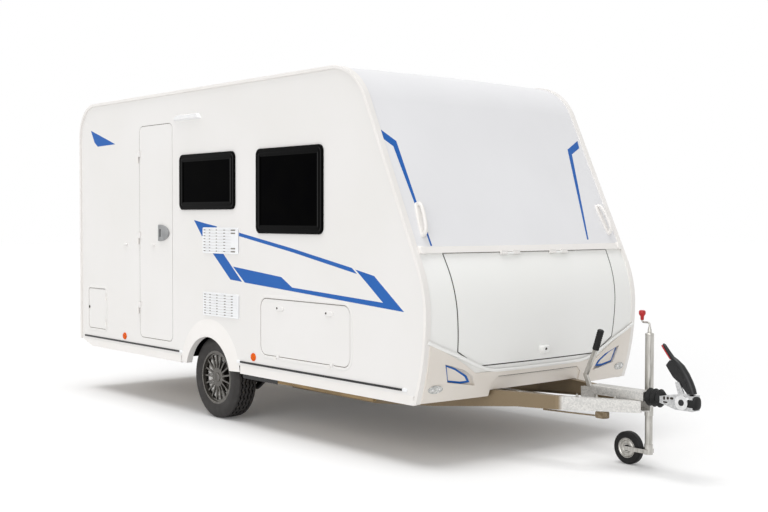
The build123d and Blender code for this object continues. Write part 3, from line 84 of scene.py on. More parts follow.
# Crowned front: the side edge turned about the upright crown axis
def crownPoint(y, z, inset):
    y, z = np.broadcast_arrays(np.asarray(y, float), np.asarray(z, float))
    reach = frontEdge(z, inset) + crownDrop - crownAxis
    return np.stack([crownAxis + np.sqrt(reach**2 - y**2), y, z], -1)


# Flat side wall: x and z carried to a distance outwards; hand is -1 on the right and 1 on the left
def wallPoint(x, z, proud=0.0, hand=-1):
    x, z = np.broadcast_arrays(np.asarray(x, float), np.asarray(z, float))
    return np.stack([x, np.full(x.shape, hand * (shell["half"] + proud)), z], -1)


# sRGB hex to linear colour
def tint(code):
    parts = np.array([int(code[i:i + 2], 16) / 255 for i in (1, 3, 5)])
    parts = np.where(parts <= 0.04045, parts / 12.92, ((parts + 0.055) / 1.055) ** 2.4)
    return (*parts.tolist(), 1.0)


# Adds one node: attributes by name, and for each socket a value or the socket that feeds it
def addNode(tree, kind, sockets=None, **attributes):
    node = tree.nodes.new(kind)
    for key, value in attributes.items():
        setattr(node, key, value)
    for key, value in (sockets or {}).items():
        if isinstance(value, bpy.types.NodeSocket):
            tree.links.new(value, node.inputs[key])
        else:
            node.inputs[key].default_value = value
    return node


# A finish from its settings: two close tones in patches, a grain that lifts the surface, and a gloss that wanders.
# patch and grain are real sizes in mm, lift is the grain's height in mm, stretch draws the grain out along an axis.
# The last setting is a second tone for painted shade, the distance along the body behind which it covers, and half the
# width of its soft edge, in mm.
def makeFinish(name, tones, gloss, patch, grain, lift, metallic=0.0, ior=None, coat=0.0, stretch=(1, 1, 1),
               cells=False, shine=0.5, paintedShade=None):
    finish = bpy.data.materials.new(name)
    finish.use_nodes = True
    tree = finish.node_tree
    shader = tree.nodes["Principled BSDF"]
    place = addNode(tree, "ShaderNodeTexCoord").outputs["Object"]
    drawn = addNode(tree, "ShaderNodeMapping", {"Vector": place, "Scale": stretch}).outputs["Vector"]
    if cells:
        spots = addNode(tree, "ShaderNodeTexVoronoi", {"Vector": drawn, "Scale": 1000 / patch, "Randomness": 1.0})
        cloud = addNode(tree, "ShaderNodeSeparateColor", {"Color": spots.outputs["Color"]}).outputs[0]
    else:
        cloud = addNode(tree, "ShaderNodeTexNoise", {"Vector": drawn, "Scale": 1000 / patch, "Detail": 3.0}).outputs[0]
    ramp = addNode(tree, "ShaderNodeValToRGB", {"Fac": cloud})
    low, high = ramp.color_ramp.elements
    low.position, high.position = (0.1, 0.9) if cells else (0.35, 0.65)
    low.color, high.color = tint(tones[0]), tint(tones[1])
    colour = ramp.outputs["Color"]
    # painted shade: a second tone covers the piece behind an edge along the body
    if paintedShade:
        along = addNode(tree, "ShaderNodeSeparateXYZ", {"Vector": place}).outputs[0]
        shadeTone, edge, blend = paintedShade
        ends = {"From Min": (edge - blend) * mm, "From Max": (edge + blend) * mm}
        bare = addNode(tree, "ShaderNodeMapRange", {"Value": along, **ends}).outputs[0]
        colour = addNode(tree, "ShaderNodeMix", {0: bare, 6: tint(shadeTone), 7: colour}, data_type="RGBA").outputs[2]
    tree.links.new(colour, shader.inputs["Base Color"])
    rough = addNode(tree, "ShaderNodeMapRange", {"Value": cloud, "To Min": gloss[0], "To Max": gloss[1]})
    tree.links.new(rough.outputs[0], shader.inputs["Roughness"])
    fine = addNode(tree, "ShaderNodeTexNoise", {"Vector": drawn, "Scale": 1000 / grain, "Detail": 2.0}).outputs[0]
    bump = addNode(tree, "ShaderNodeBump", {"Height": fine, "Distance": lift * mm, "Strength": 1.0})
    tree.links.new(bump.outputs["Normal"], shader.inputs["Normal"])
    shader.inputs["Metallic"].default_value = metallic
    shader.inputs["Specular IOR Level"].default_value = shine
    if ior:
        shader.inputs["IOR"].default_value = ior
    if coat:
        shader.inputs["Coat Weight"].default_value = coat
        shader.inputs["Coat Roughness"].default_value = 0.08
    return finish


finishes = {
    # gel-coated polyester skin: warm white, glossy, with a long soft ripple that bends reflections
    "side_skin": makeFinish("gelcoatSideSkin", ("#E9E7E4", "#ECEAE8"), (0.26, 0.34), 900, 60, 0.06, ior=1.5,
                            shine=0.35),
    # vacuum-formed ABS front: cooler white, a little softer in its gloss
    "front_skin": makeFinish("formedAbsFront", ("#E6E6E8", "#E9E9EB"), (0.28, 0.38), 700, 40, 0.05, ior=1.52,
                             shine=0.35),
    # extruded PVC edge moulding: warm white, satin, with faint draw lines
    "trim": makeFinish("whitePvcMoulding", ("#EDEAE6", "#F0EDEA"), (0.34, 0.42), 300, 9, 0.03, ior=1.53, shine=0.4),
    # sealed birch plywood: tan, grain drawn out along the body
    "floor_wood": makeFinish("sealedPlywood", ("#75603F", "#9A8056"), (0.5, 0.7), 30, 3, 0.15, ior=1.5,
                             stretch=(0.12, 1, 1)),
    # smoked acrylic pane: almost black, polished, and coated against glare
    "window": makeFinish("smokedAcrylic", ("#000001", "#020202"), (0.04, 0.12), 250, 90, 0.05, ior=1.2, shine=0.04),
    # gloss black window frame moulding
    "frame": makeFinish("blackFrameMoulding", ("#010101", "#030303"), (0.05, 0.11), 60, 4, 0.02, ior=1.3, shine=0.1),
    # injection-moulded ASA grille: clean white with a fine spark texture
    "vent": makeFinish("whiteAsaGrille", ("#EFF0F2", "#F3F4F5"), (0.36, 0.46), 80, 1.5, 0.03, ior=1.5),
    # amber acrylic lens: strong orange with moulded prisms behind the face
    "amber": makeFinish("amberAcrylicLens", ("#D14A00", "#E86700"), (0.2, 0.3), 6, 4, 0.3, ior=1.4, cells=True,
                        shine=0.12),
    # clear lens over a bright reflector: pale grey facets
    "clear_lamp": makeFinish("clearLensReflector", ("#AEB0AE", "#DEDDDA"), (0.08, 0.18), 9, 6, 0.3, ior=1.49,
                             cells=True),
    # red acrylic lens
    "red_lamp": makeFinish("redAcrylicLens", ("#8E0D10", "#BE1A1D"), (0.1, 0.2), 6, 4, 0.3, ior=1.49, cells=True),
    # glass-filled nylon handle: mid grey, fine moulded texture
    "grey_handle": makeFinish("greyNylonHandle", ("#88898A", "#98999A"), (0.38, 0.5), 40, 1.2, 0.05, ior=1.5),
    # satin anodised aluminium hinge
    "hinge_metal": makeFinish("anodisedHinge", ("#B9B7B2", "#C9C7C3"), (0.3, 0.4), 30, 2, 0.02, metallic=1.0),
    # hot-dip galvanised steel: spangle cells of different grey, dull here and bright there
    "galvanised": makeFinish("galvanisedSteel", ("#BEBDBA", "#D3D1CD"), (0.34, 0.48), 9, 7, 0.06, metallic=0.8,
                             cells=True),
    # black painted running gear: satin with road grain
    "black_steel": makeFinish("blackChassisPaint", ("#0C0C0D", "#161514"), (0.35, 0.5), 45, 4, 0.1, ior=1.5),
    # tyre rubber: very dark warm grey, matt
    "tyre": makeFinish("tyreRubber", ("#312F2E", "#3B3938"), (0.7, 0.82), 60, 2.5, 0.08, ior=1.5, shine=0.35),
    # anthracite lacquer on cast aluminium: dark bronze grey that catches light on its edges
    "alloy": makeFinish("anthraciteAlloy", ("#524F4B", "#63605B"), (0.2, 0.3), 50, 2, 0.02, metallic=0.85, coat=0.3),
    # EPDM rubber
    "black_rubber": makeFinish("epdmRubber", ("#0D0D0D", "#161616"), (0.5, 0.62), 30, 1.5, 0.05, ior=1.5, shine=0.3),
    # black polypropylene with a moulded grain
    "black_plastic": makeFinish("blackPolypropylene", ("#0F0F11", "#19191B"), (0.26, 0.38), 30, 1.6, 0.06, ior=1.5,
                                shine=0.4),
    # sand-cast coupling, silver: bright with a cast skin
    "silver": makeFinish("silverCasting", ("#B4B5B6", "#D0D0D0"), (0.28, 0.4), 14, 2.5, 0.12, metallic=1.0),
    # red moulded nylon
    "red_plastic": makeFinish("redNylon", ("#A81317", "#BD1A1E"), (0.3, 0.42), 20, 1.2, 0.04, ior=1.5),
    # zinc-plated steel tube: pale, slightly warm, drawn lines along its length
    "zinc": makeFinish("zincPlatedSteel", ("#A9A7A1", "#C8C6C1"), (0.26, 0.4), 18, 3, 0.03, metallic=1.0,
                       stretch=(1, 1, 0.15)),
}
# cast vinyl film: strong blue, satin
blueFilm = makeFinish("blueVinylFilm", ("#2B62AF", "#2F66B3"), (0.34, 0.44), 400, 12, 0.01, ior=1.4, shine=0.12)
# front surround and gas locker lid: gel coat in a slightly warmer white, painted lighter than the side skin as painted
# light where less light falls
lidSkinPaintedLight = makeFinish("gelcoatLidPaintedLight", ("#F3F3F0", "#F5F5F3"), (0.28, 0.36), 800, 50, 0.05, ior=1.5, shine=0.35)
# thermoformed fairing: warm cream, satin; the warmth is partly a painted reflection of the brown ground
fairingSkinAndReflection = makeFinish("creamFairingPaintedReflection", ("#E3DCD3", "#E8E2DA"), (0.34, 0.44), 400, 30, 0.05, ior=1.5, shine=0.35)
# drawbar steel: galvanised in front, painted brown-grey where it runs below the body, as painted shade and a painted
# reflection of the ground
shadedBeam = makeFinish("galvanisedBeamPaintedShade", ("#BEBDBA", "#D3D1CD"), (0.34, 0.48), 9, 7, 0.06, metallic=0.5,
                       cells=True, paintedShade=("#84745C", 2150, 12))
# bare steel clamp and rod under the drawbar, in a brown tone
clampSteel = makeFinish("brownClampSteel", ("#6E5F49", "#8B7C66"), (0.45, 0.6), 14, 4, 0.08, metallic=0.6, cells=True)
# EPDM seal in the gap round the lid, dark as painted shade in the gap; also the painted shade of the slit over the
# fairing recess
sealAndGapShade = makeFinish("gapSealPaintedShade", ("#3A3835", "#45423E"), (0.6, 0.7), 40, 2, 0.02, ior=1.5, shine=0.2)
# bottom of the tread grooves: the same rubber, darker as painted shade in the grooves
paintedGrooveShade = makeFinish("paintedGrooveShade", ("#0A0909", "#121111"), (0.75, 0.85), 40, 2.5, 0.08, ior=1.4, shine=0.15)
# turned lip and barrel of the wheel, bright under lacquer
barrelAlloy = makeFinish("turnedAlloy", ("#C6C4C1", "#E2E0DD"), (0.22, 0.34), 12, 2, 0.02, metallic=0.55, coat=0.3)
# painted shade in the mouths of the louvres, and a painted soft line of shade below each one
mouthShade = makeFinish("louvreMouthPaintedShade", ("#77736D", "#8B8780"), (0.6, 0.7), 12, 2, 0.02, ior=1.5)
lineShade = makeFinish("louvreShade", ("#D3D1CF", "#DBD9D7"), (0.5, 0.6), 20, 2, 0.02, ior=1.5)
# door seal seen in the gap, brown-grey rubber darkened as painted shade in the gap
doorSealAndGapShade = makeFinish("doorSealPaintedGapShade", ("#6A6156", "#787065"), (0.6, 0.7), 30, 2, 0.02, ior=1.5, shine=0.2)
# white lens of the awning light, milky acrylic
milkLens = makeFinish("milkAcrylicLens", ("#EDEDEE", "#F2F2F2"), (0.2, 0.3), 90, 8, 0.02, ior=1.49)
# shadowed bore of a lock or a casting: dark oxidised metal
darkBore = makeFinish("darkLockBore", ("#2B2622", "#3B342D"), (0.45, 0.6), 8, 1, 0.02, metallic=0.6)
# polished machined ring
brightSteel = makeFinish("polishedSteel", ("#D4D4D4", "#E4E4E4"), (0.14, 0.22), 20, 2, 0.01, metallic=1.0)

special = dict(
    gas_locker_lid=lidSkinPaintedLight, front_surround=lidSkinPaintedLight, lower_fairing=fairingSkinAndReflection, chassis_beams=shadedBeam,
    awning_lamp=milkLens, wall_hinges=finishes["trim"], axle=finishes["black_steel"], stabiliser_pads=brightSteel,
)
for part in frame["record"]["subparts"]:
    cadPiece = nodes[part["node"]]
    cadPiece.data.materials.clear()
    cadPiece.data.materials.append(special.get(part["node"], finishes[part["material_slot"]]))
print("finishes made:", len(bpy.data.materials))


# Puts points and four-sided faces into a mesh object in metres, merges poles and seams, turns faces outwards.
# Without a finish of its own a piece takes the one of its slot.
def makePiece(name, points, quads, body, slot, finish=None, smooth=True):
    mesh = bpy.data.meshes.new(name)
    mesh.from_pydata((np.asarray(points, float).reshape(-1, 3) * mm).tolist(), [], np.asarray(quads).tolist())
    shape = bmesh.new()
    shape.from_mesh(mesh)
    bmesh.ops.remove_doubles(shape, verts=shape.verts, dist=2e-6)
    bmesh.ops.dissolve_degenerate(shape, edges=shape.edges, dist=1e-7)
    bmesh.ops.recalc_face_normals(shape, faces=shape.faces)
    shape.to_mesh(mesh)
    shape.free()
    if smooth:
        mesh.shade_smooth()
        mesh.set_sharp_from_angle(angle=radians(35))
    mesh.materials.append(finish or finishes[slot])
    piece = bpy.data.objects.new(name, mesh)
    bpy.context.scene.collection.objects.link(piece)
    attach(piece, body)
    return piece


# Faces of a grid of rows by columns, joined round either way where asked
def gridQuads(rows, columns, wrapRows=False, wrapColumns=False, start=0):
    r = np.arange(rows if wrapRows else rows - 1)[:, None]
    c = np.arange(columns if wrapColumns else columns - 1)[None, :]
    r2, c2 = (r + 1) % rows, (c + 1) % columns
    quads = np.stack(np.broadcast_arrays(r * columns + c, r * columns + c2, r2 * columns + c2, r2 * columns + c), -1)
    return quads.reshape(-1, 4) + start


# Rings of points joined into a tube whose ends close on their middle points
def ringBody(rings):
    rings = np.asarray(rings, float)
    ends = np.repeat(rings[[0, -1]].mean(1, keepdims=True), rings.shape[1], 1)
    rings = np.concatenate([ends[:1], rings, ends[1:]])
    return rings.reshape(-1, 3), gridQuads(rings.shape[0], rings.shape[1], wrapColumns=True)


# A thin sheet: an outer grid and an inner one, closed round their edge
def sheetBody(outer, inner):
    rows, columns = outer.shape[:2]
    number = np.arange(rows * columns).reshape(rows, columns)
    rim = np.concatenate([number[0, :], number[1:, -1], number[-1, -2::-1], number[-2:0:-1, 0]])
    after = np.roll(rim, -1)
    back = rows * columns
    sides = np.stack([rim, rim + back, after + back, after], -1)
    quads = np.concatenate([gridQuads(rows, columns), gridQuads(rows, columns, start=back)[:, ::-1], sides])
    return np.concatenate([outer.reshape(-1, 3), inner.reshape(-1, 3)]), quads


# Joins several bodies of points and quads into one
def joinBodies(*bodies):
    points, quads, count = [], [], 0
    for p, q in bodies:
        points.append(np.asarray(p, float).reshape(-1, 3))
        quads.append(np.asarray(q) + count)
        count += len(points[-1])
    return np.concatenate(points), np.concatenate(quads)


# Rounded rectangle: four quarter arcs joined by straight sides, as columns across and up
def roundedLoop(low, high, base, top, radius, steps=7):
    turn = np.linspace(0, pi / 2, steps)
    left, right, foot, head = low + radius, high - radius, base + radius, top - radius
    return np.concatenate([
        np.stack([a + radius * np.cos(turn + k * pi / 2), b + radius * np.sin(turn + k * pi / 2)], -1)
        for k, (a, b) in enumerate(((right, head), (left, head), (left, foot), (right, foot)))
    ])


# A profile carried round a flat closed loop: each profile row steps in across the loop and out from its plane
def loopTrim(loop, profile, lift):
    along = np.roll(loop, -1, 0) - np.roll(loop, 1, 0)
    along /= np.linalg.norm(along, axis=1, keepdims=True)
    inward = np.stack([-along[:, 1], along[:, 0]], -1)
    rows = [(loop + step * inward, proud) for step, proud in profile]
    rings = np.stack([lift(r[:, 0], r[:, 1], proud) for r, proud in rows])
    return rings.reshape(-1, 3), gridQuads(rings.shape[0], rings.shape[1], wrapRows=True, wrapColumns=True)


# A profile carried along a flat open line: each profile row steps across the line and out from its plane
def runTrim(line, profile, lift):
    along = np.gradient(line, axis=0)
    along /= np.linalg.norm(along, axis=1, keepdims=True)
    aside = np.stack([-along[:, 1], along[:, 0]], -1)
    rows = [(line + step * aside, proud) for step, proud in profile]
    rings = np.stack([lift(r[:, 0], r[:, 1], proud) for r, proud in rows], 1)
    return ringBody(rings)


# Points close together along a line of corners
def densely(corners, step):
    corners = np.asarray(corners, float)
    lengths = np.concatenate([[0], np.cumsum(np.linalg.norm(np.diff(corners, axis=0), axis=1))])
    t = np.linspace(0, lengths[-1], max(int(lengths[-1] / step), 2))
    return np.stack([np.interp(t, lengths, corners[:, k]) for k in range(corners.shape[1])], -1)


# A surface of turning: radius and distance along the axle carried round it
def turnBody(profile, centre, count, axis="y", closed=True):
    radius, reach = np.asarray(profile, float).T
    turn = np.linspace(0, 2 * pi, count, endpoint=False)
    a = radius[:, None] * np.cos(turn)
    b = radius[:, None] * np.sin(turn)
    c = np.broadcast_to(reach[:, None], a.shape)
    order = {"x": (c, a, b), "y": (b, c, a), "z": (a, b, c)}[axis]
    points = np.stack(order, -1) + np.asarray(centre, float)
    return points.reshape(-1, 3), gridQuads(len(profile), count, wrapRows=closed, wrapColumns=True)


# A round rod along a path: circles square to the path, each with its own radius where several are given
def rodBody(path, radius, count=12):
    path = np.asarray(path, float)
    along = np.gradient(path, axis=0)
    along /= np.linalg.norm(along, axis=1, keepdims=True)
    side = np.cross(along, (0.12, 0.97, 0.2))
    side /= np.linalg.norm(side, axis=1, keepdims=True)
    up = np.cross(along, side)
    turn = np.linspace(0, 2 * pi, count, endpoint=False)
    radius = np.broadcast_to(radius, len(path))[:, None, None]
    c, s = np.cos(turn)[None, :, None], np.sin(turn)[None, :, None]
    return ringBody(path[:, None] + radius * (c * side[:, None] + s * up[:, None]))


# Smooth points through a few corners, each corner rounded by its two neighbours
def bend(points, steps=8):
    points = np.asarray(points, float)
    middles = (points[:-1] + points[1:]) / 2
    t = np.linspace(0, 1, steps)[:, None]
    runs = [points[:1]]
    for before, corner, after in zip(middles[:-1], points[1:-1], middles[1:]):
        runs.append((1 - t) ** 2 * before + 2 * t * (1 - t) * corner + t**2 * after)
    return np.concatenate(runs + [points[-1:]])


# Superellipse: cosine and sine of the turn, raised to the power bow and keeping their signs, times the half sizes
def superellipse(halfLong, halfHigh, bow):
    turn = np.linspace(0, 2 * pi, 28, endpoint=False)
    c, s = np.cos(turn), np.sin(turn)
    return halfLong * np.sign(c) * np.abs(c) ** bow, halfHigh * np.sign(s) * np.abs(s) ** bow


# A raised button: superellipse rings that shrink as they rise, turned by a tilt about their middle
def buttonBody(centre, halfLong, halfHigh, proud, lift, power=2.0, tilt=0.0, crown=0.6):
    a, b = superellipse(halfLong, halfHigh, 2 / power)
    a, b = a * cos(tilt) - b * sin(tilt), a * sin(tilt) + b * cos(tilt)
    steps = ((1.0, 0.0), (1.0, 0.45), (0.95, 0.75), (0.84, 0.93), (crown, 1.0), (crown * 0.4, 1.0))
    return ringBody(np.stack([lift(centre[0] + k * a, centre[1] + k * b, h * proud) for k, h in steps]))


# Right and left wall: along and up carried outwards from the flat face
def onRight(x, z, proud):
    return wallPoint(x, z, proud, -1)


def onLeft(x, z, proud):
    return wallPoint(x, z, proud, 1)


# An upright plane at a distance from the middle of the caravan, on the side that hand names
def onPlane(out, hand=-1):
    return lambda x, z, proud: wallPoint(x, z, out - shell["half"] + proud, hand)


# Rear wall: across and up carried backwards from its face
def onRear(y, z, proud):
    y, z = np.broadcast_arrays(np.asarray(y, float), np.asarray(z, float))
    return np.stack([np.full(y.shape, shell["rearX"] + shell["skinInset"] - proud), y, z], -1)


# Front skin: across and up carried outwards from the crowned face
def onFront(y, z, proud):
    return crownPoint(y, z, shell["skinInset"] - proud)


# Camera where the photograph was taken
camera = dict(place=(6834, -5756, 1558), lens=53.53, sensor=36, farEnd=200, yaw=49.38, pitch=1.86, roll=0.13)
yaw, pitch, roll = (radians(camera[k]) for k in ("yaw", "pitch", "roll"))
forward = Vector((-sin(yaw) * cos(pitch), cos(yaw) * cos(pitch), -sin(pitch)))
level = Vector((cos(yaw), sin(yaw), 0))
upright = level.cross(forward)
right = cos(roll) * level + sin(roll) * upright
top = cos(roll) * upright - sin(roll) * level
lens = bpy.data.cameras.new("viewpoint")
lens.lens = camera["lens"]
lens.sensor_width = camera["sensor"]
lens.clip_end = camera["farEnd"]
eye = bpy.data.objects.new("viewpoint", lens)
facing = Matrix((right, top, -forward)).transposed().to_4x4()
eye.matrix_world = Matrix.Translation(Vector(camera["place"]) * mm) @ facing
bpy.context.scene.collection.objects.link(eye)
bpy.context.scene.camera = eye
bpy.context.scene.view_settings.view_transform = "Standard"


# One for rays from the camera, reflections and glass, else nought: the greatest of the three
def seenRay(tree):
    ray = addNode(tree, "ShaderNodeLightPath").outputs
    seen = ray["Is Camera Ray"]
    for other in ("Is Glossy Ray", "Is Transmission Ray"):
        seen = addNode(tree, "ShaderNodeMath", {0: seen, 1: ray[other]}, operation="MAXIMUM").outputs[0]
    return seen


# Studio: a pale floor that keeps the shadow, a white room and two broad soft lamps
studio = dict(
    reach=60000, floorTone="#F2F2F2", floorGlow=0.08, room=0.48,
    lamps=dict(overhead=(1.52, (9, -3, 0), 34), side=(1.0, (72, 0, 28), 50)),
)
corner = studio["reach"]
floorGrid = np.array([[[x, y, 0] for x in (-corner, corner)] for y in (-corner, corner)], float)
floorMesh = bpy.data.meshes.new("studioFloor")
floorMesh.from_pydata((floorGrid.reshape(-1, 3) * mm).tolist(), [], [[0, 1, 3, 2]])
floor = bpy.data.objects.new("studioFloor", floorMesh)
bpy.context.scene.collection.objects.link(floor)
# matt painted studio floor; the camera also sees a faint glow, which lifts it to white and lights nothing
floorPaint = bpy.data.materials.new("mattFloorPaint")
floorPaint.use_nodes = True
tree = floorPaint.node_tree
tree.nodes.remove(tree.nodes["Principled BSDF"])
matt = addNode(tree, "ShaderNodeBsdfDiffuse", {"Color": tint(studio["floorTone"])})
seen = seenRay(tree)
glowLevel = addNode(tree, "ShaderNodeMath", {0: seen, 1: studio["floorGlow"]}, operation="MULTIPLY")
glow = addNode(tree, "ShaderNodeEmission", {"Strength": glowLevel.outputs[0]})
both = addNode(tree, "ShaderNodeAddShader", {0: matt.outputs[0], 1: glow.outputs[0]})
tree.links.new(both.outputs[0], tree.nodes["Material Output"].inputs["Surface"])
floorMesh.materials.append(floorPaint)

room = bpy.data.worlds.new("whiteRoom")
room.use_nodes = True
tree = room.node_tree
seen = seenRay(tree)
level = addNode(tree, "ShaderNodeMapRange", {"Value": seen, "To Min": studio["room"], "To Max": 1.0})
tree.nodes["Background"].inputs["Color"].default_value = (1, 1, 1, 1)
tree.links.new(level.outputs[0], tree.nodes["Background"].inputs["Strength"])
bpy.context.scene.world = room

for name, (power, turn, spread) in studio["lamps"].items():
    lamp = bpy.data.lights.new(name, "SUN")
    lamp.energy = power
    lamp.angle = radians(spread)
    lampObject = bpy.data.objects.new(name, lamp)
    lampObject.rotation_euler = [radians(a) for a in turn]
    bpy.context.scene.collection.objects.link(lampObject)
print("camera, floor and lamps set")


# A flat film between two edge lines with as many points each, laid on a wall by its lift
def filmBody(first, second, lift, thick=0.5, across=3, along=6):
    first, second = np.asarray(first, float), np.asarray(second, float)
    t = np.linspace(0, len(first) - 1, (len(first) - 1) * along + 1)
    knots = np.arange(len(first))
    a = np.stack([np.interp(t, knots, first[:, k]) for k in (0, 1)], -1)
    b = np.stack([np.interp(t, knots, second[:, k]) for k in (0, 1)], -1)
    s = np.linspace(0, 1, across)[:, None, None]
    flat = (1 - s) * a[None] + s * b[None]
    return sheetBody(lift(flat[..., 0], flat[..., 1], thick), lift(flat[..., 0], flat[..., 1], 0.0))


# Blue swoosh on the right wall: each row is one edge line and the line opposite, across and up
sideFilms = dict(
    rearCorner=(
        ((-2759, 2349), (-2600, 2300), (-2440, 2251), (-2296, 2205)),
        ((-2759, 2349), (-2690, 2240), (-2628, 2199), (-2296, 2205)),
    ),
    arrow=(((-987, 1546), (-811, 1519), (-655, 1498)), ((-867, 1418), (-835, 1440), (-655, 1484))),
    topBar=(((-346, 1453), (310, 1352), (992, 1235)), ((-346, 1427), (330, 1322), (1046, 1197))),
    corner=(((1029, 1225), (1219, 1191), (1511, 976)), ((1029, 1225), (1150, 1139), (1308, 1023))),
    longBar=(
        ((-430, 1197), (194, 1143), (326, 1074), (1308, 1023)),
        ((-271, 1083), (200, 1055), (400, 1043), (1511, 976)),
    ),
    leg=(((-716, 1292), (-465, 1097)), ((-566, 1292), (-308, 1087))),
)
# The left wall has no grilles, so there the arrow, bar and leg join up
leftFilms = dict(
    sideFilms,
    join=(((-655, 1498), (-346, 1453)), ((-655, 1484), (-346, 1427))),
    stem=(((-867, 1418), (-835, 1440), (-770, 1456)), ((-716, 1292), (-640, 1292), (-566, 1292))),
)
# Blue lines on the raked front
frontFilms = dict(
    leftTop=(((-992, 2135), (-893, 2060)), ((-992, 2072), (-930, 2025))),
    leftLeg=(((-893, 2060), (-884, 1657)), ((-930, 2025), (-904, 1657))),
    leftFoot=(((-874, 1477), (-872, 1390)), ((-888, 1477), (-885, 1390))),
    rightTop=(((962, 2148), (790, 2074)), ((952, 2092), (824, 2040))),
    rightLeg=(((790, 2074), (628, 1415)), ((824, 2040), (644, 1415))),
)
for name, shapes, lift, along, slot in (
    ("side_film", sideFilms, onRight, 6, "side_skin"),
    ("left_film", leftFilms, onLeft, 6, "side_skin"),
    ("front_film", frontFilms, onFront, 10, "front_skin"),
):
    films = [filmBody(first, second, lift, along=along) for first, second in shapes.values()]
    makePiece(name, *joinBodies(*films), "caravan", slot, blueFilm, smooth=False)
print("films laid")

# Windows: two raised ridges round each pane, as the moulded frames have
windows = dict(
    small=(-1193, -393, 1627, 2065), big=(-110, 688, 1451, 2065), radius=48, inset=3, foot=7, base=11, height=0.44,
)
ridge = np.array([
    (0, 0), (0, 5), (4, 9), (10, 10), (16, 8), (20, 3), (24, 2), (30, 5), (36, 9), (43, 9), (50, 5), (56, 1), (56, 0),
], float)
for name in ("small", "big"):
    low, high, base, peak = windows[name]
    inset = windows["inset"]
    loop = roundedLoop(low + inset, high - inset, base + inset, peak - inset, windows["radius"], 9)
    for hand, lift in (("right", onRight), ("left", onLeft)):
        rows = [(step, windows["base"] + proud * windows["height"]) for step, proud in ridge]
        rows += [(step, windows["foot"]) for step in (ridge[-1, 0], 0)]
        makePiece(f"{name}_window_ridge_{hand}", *loopTrim(loop, rows, lift), "caravan", "frame")
print("window ridges made")

# Tyres: a rounded section with four wandering grooves, carried round the axle
tyre = dict(
    x=-763, z=318, r=318, rim=208, wide=195, middle=877.5, treadHalf=76, grooves=(-48, -17, 17, 48),
    grooveHalf=6.5, grooveSide=3, grooveDeep=11, wander=6, waves=36, around=432, crown=4, bulge=2.2, tuck=9, notch=3,
)


# Radius and distance along the axle of each row, carried round: the tread falls with the fourth power of its width
def tyreBody(hand):
    half = tyre["wide"] / 2
    across = np.linspace(-tyre["treadHalf"], tyre["treadHalf"], 61)
    turn = np.linspace(0, 2 * pi, tyre["around"], endpoint=False)
    shift = tyre["wander"] * (2 / pi) * np.arcsin(np.sin(tyre["waves"] * turn))
    tread = tyre["r"] - tyre["crown"] * (across[:, None] / tyre["treadHalf"]) ** 4 + 0 * turn
    for place in tyre["grooves"]:
        away = np.abs(across[:, None] - place - shift)
        tread -= tyre["grooveDeep"] * np.clip((tyre["grooveHalf"] - away) / tyre["grooveSide"] + 0.5, 0, 1)
    # side wall: a bulging arc from the tread's edge to the bead, with a rim protector ring
    drop = np.linspace(0, 1, 18)[1:]
    wallR = tread[-1].mean() - (tyre["r"] - tyre["crown"] - tyre["rim"]) * drop
    wallY = tyre["treadHalf"] + (half - tyre["treadHalf"]) * np.sin(np.minimum(drop * tyre["bulge"], 1) * pi / 2)
    wallY = np.where(drop > 0.5, half - tyre["tuck"] * ((drop - 0.5) / 0.5) ** 2, wallY)
    wallR[-1] = tyre["rim"]
    sideR = np.repeat(wallR[:, None], len(turn), 1)
    # blocks on the shoulder: short scallops where the tread turns down
    notch = np.clip(np.sin(tyre["waves"] * 2 * turn) * 3, -1, 1) * 0.5 + 0.5
    sideR[0] -= tyre["notch"] * notch
    radii = np.concatenate([sideR[::-1], tread, sideR])
    reach = np.concatenate([-wallY[::-1], across, wallY])
    reach = np.repeat(reach[:, None], len(turn), 1) * hand + hand * tyre["middle"]
    points = np.stack([tyre["x"] + radii * np.sin(turn), reach, tyre["z"] + radii * np.cos(turn)], -1)
    return points.reshape(-1, 3), gridQuads(points.shape[0], points.shape[1], wrapRows=True, wrapColumns=True)


for side, hand in (("right", -1), ("left", 1)):
    piece = makePiece(f"tread_{side}", *tyreBody(hand), f"wheel_{side}", "tyre")
    piece.data.materials.append(paintedGrooveShade)
    middles = np.empty(len(piece.data.polygons) * 3)
    piece.data.polygons.foreach_get("center", middles)
    middles = middles.reshape(-1, 3) / mm
    away = np.hypot(middles[:, 0] - tyre["x"], middles[:, 2] - tyre["z"])
    across = np.abs(middles[:, 1] - hand * tyre["middle"])
    # painted shade: faces down in the grooves take the darker rubber
    paintedShadeFaces = (away < tyre["r"] - tyre["crown"] - 3) & (across < tyre["treadHalf"] - 1)
    piece.data.polygons.foreach_set("material_index", paintedShadeFaces.astype(np.int32))
    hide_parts(f"tyre_{side}")
print("tyres made")

# Strip ends: white caps at the ends of the black rubber strips
strip = dict(places=((-1187, 487), (-353, 487), (1522, 487)), cap=(23, 12, 8))
for hand, lift in (("right", onRight), ("left", onLeft)):
    caps = [buttonBody(place, *strip["cap"], lift, power=4) for place in strip["places"]]
    makePiece(f"strip_caps_{hand}", *joinBodies(*caps), "caravan", "vent")

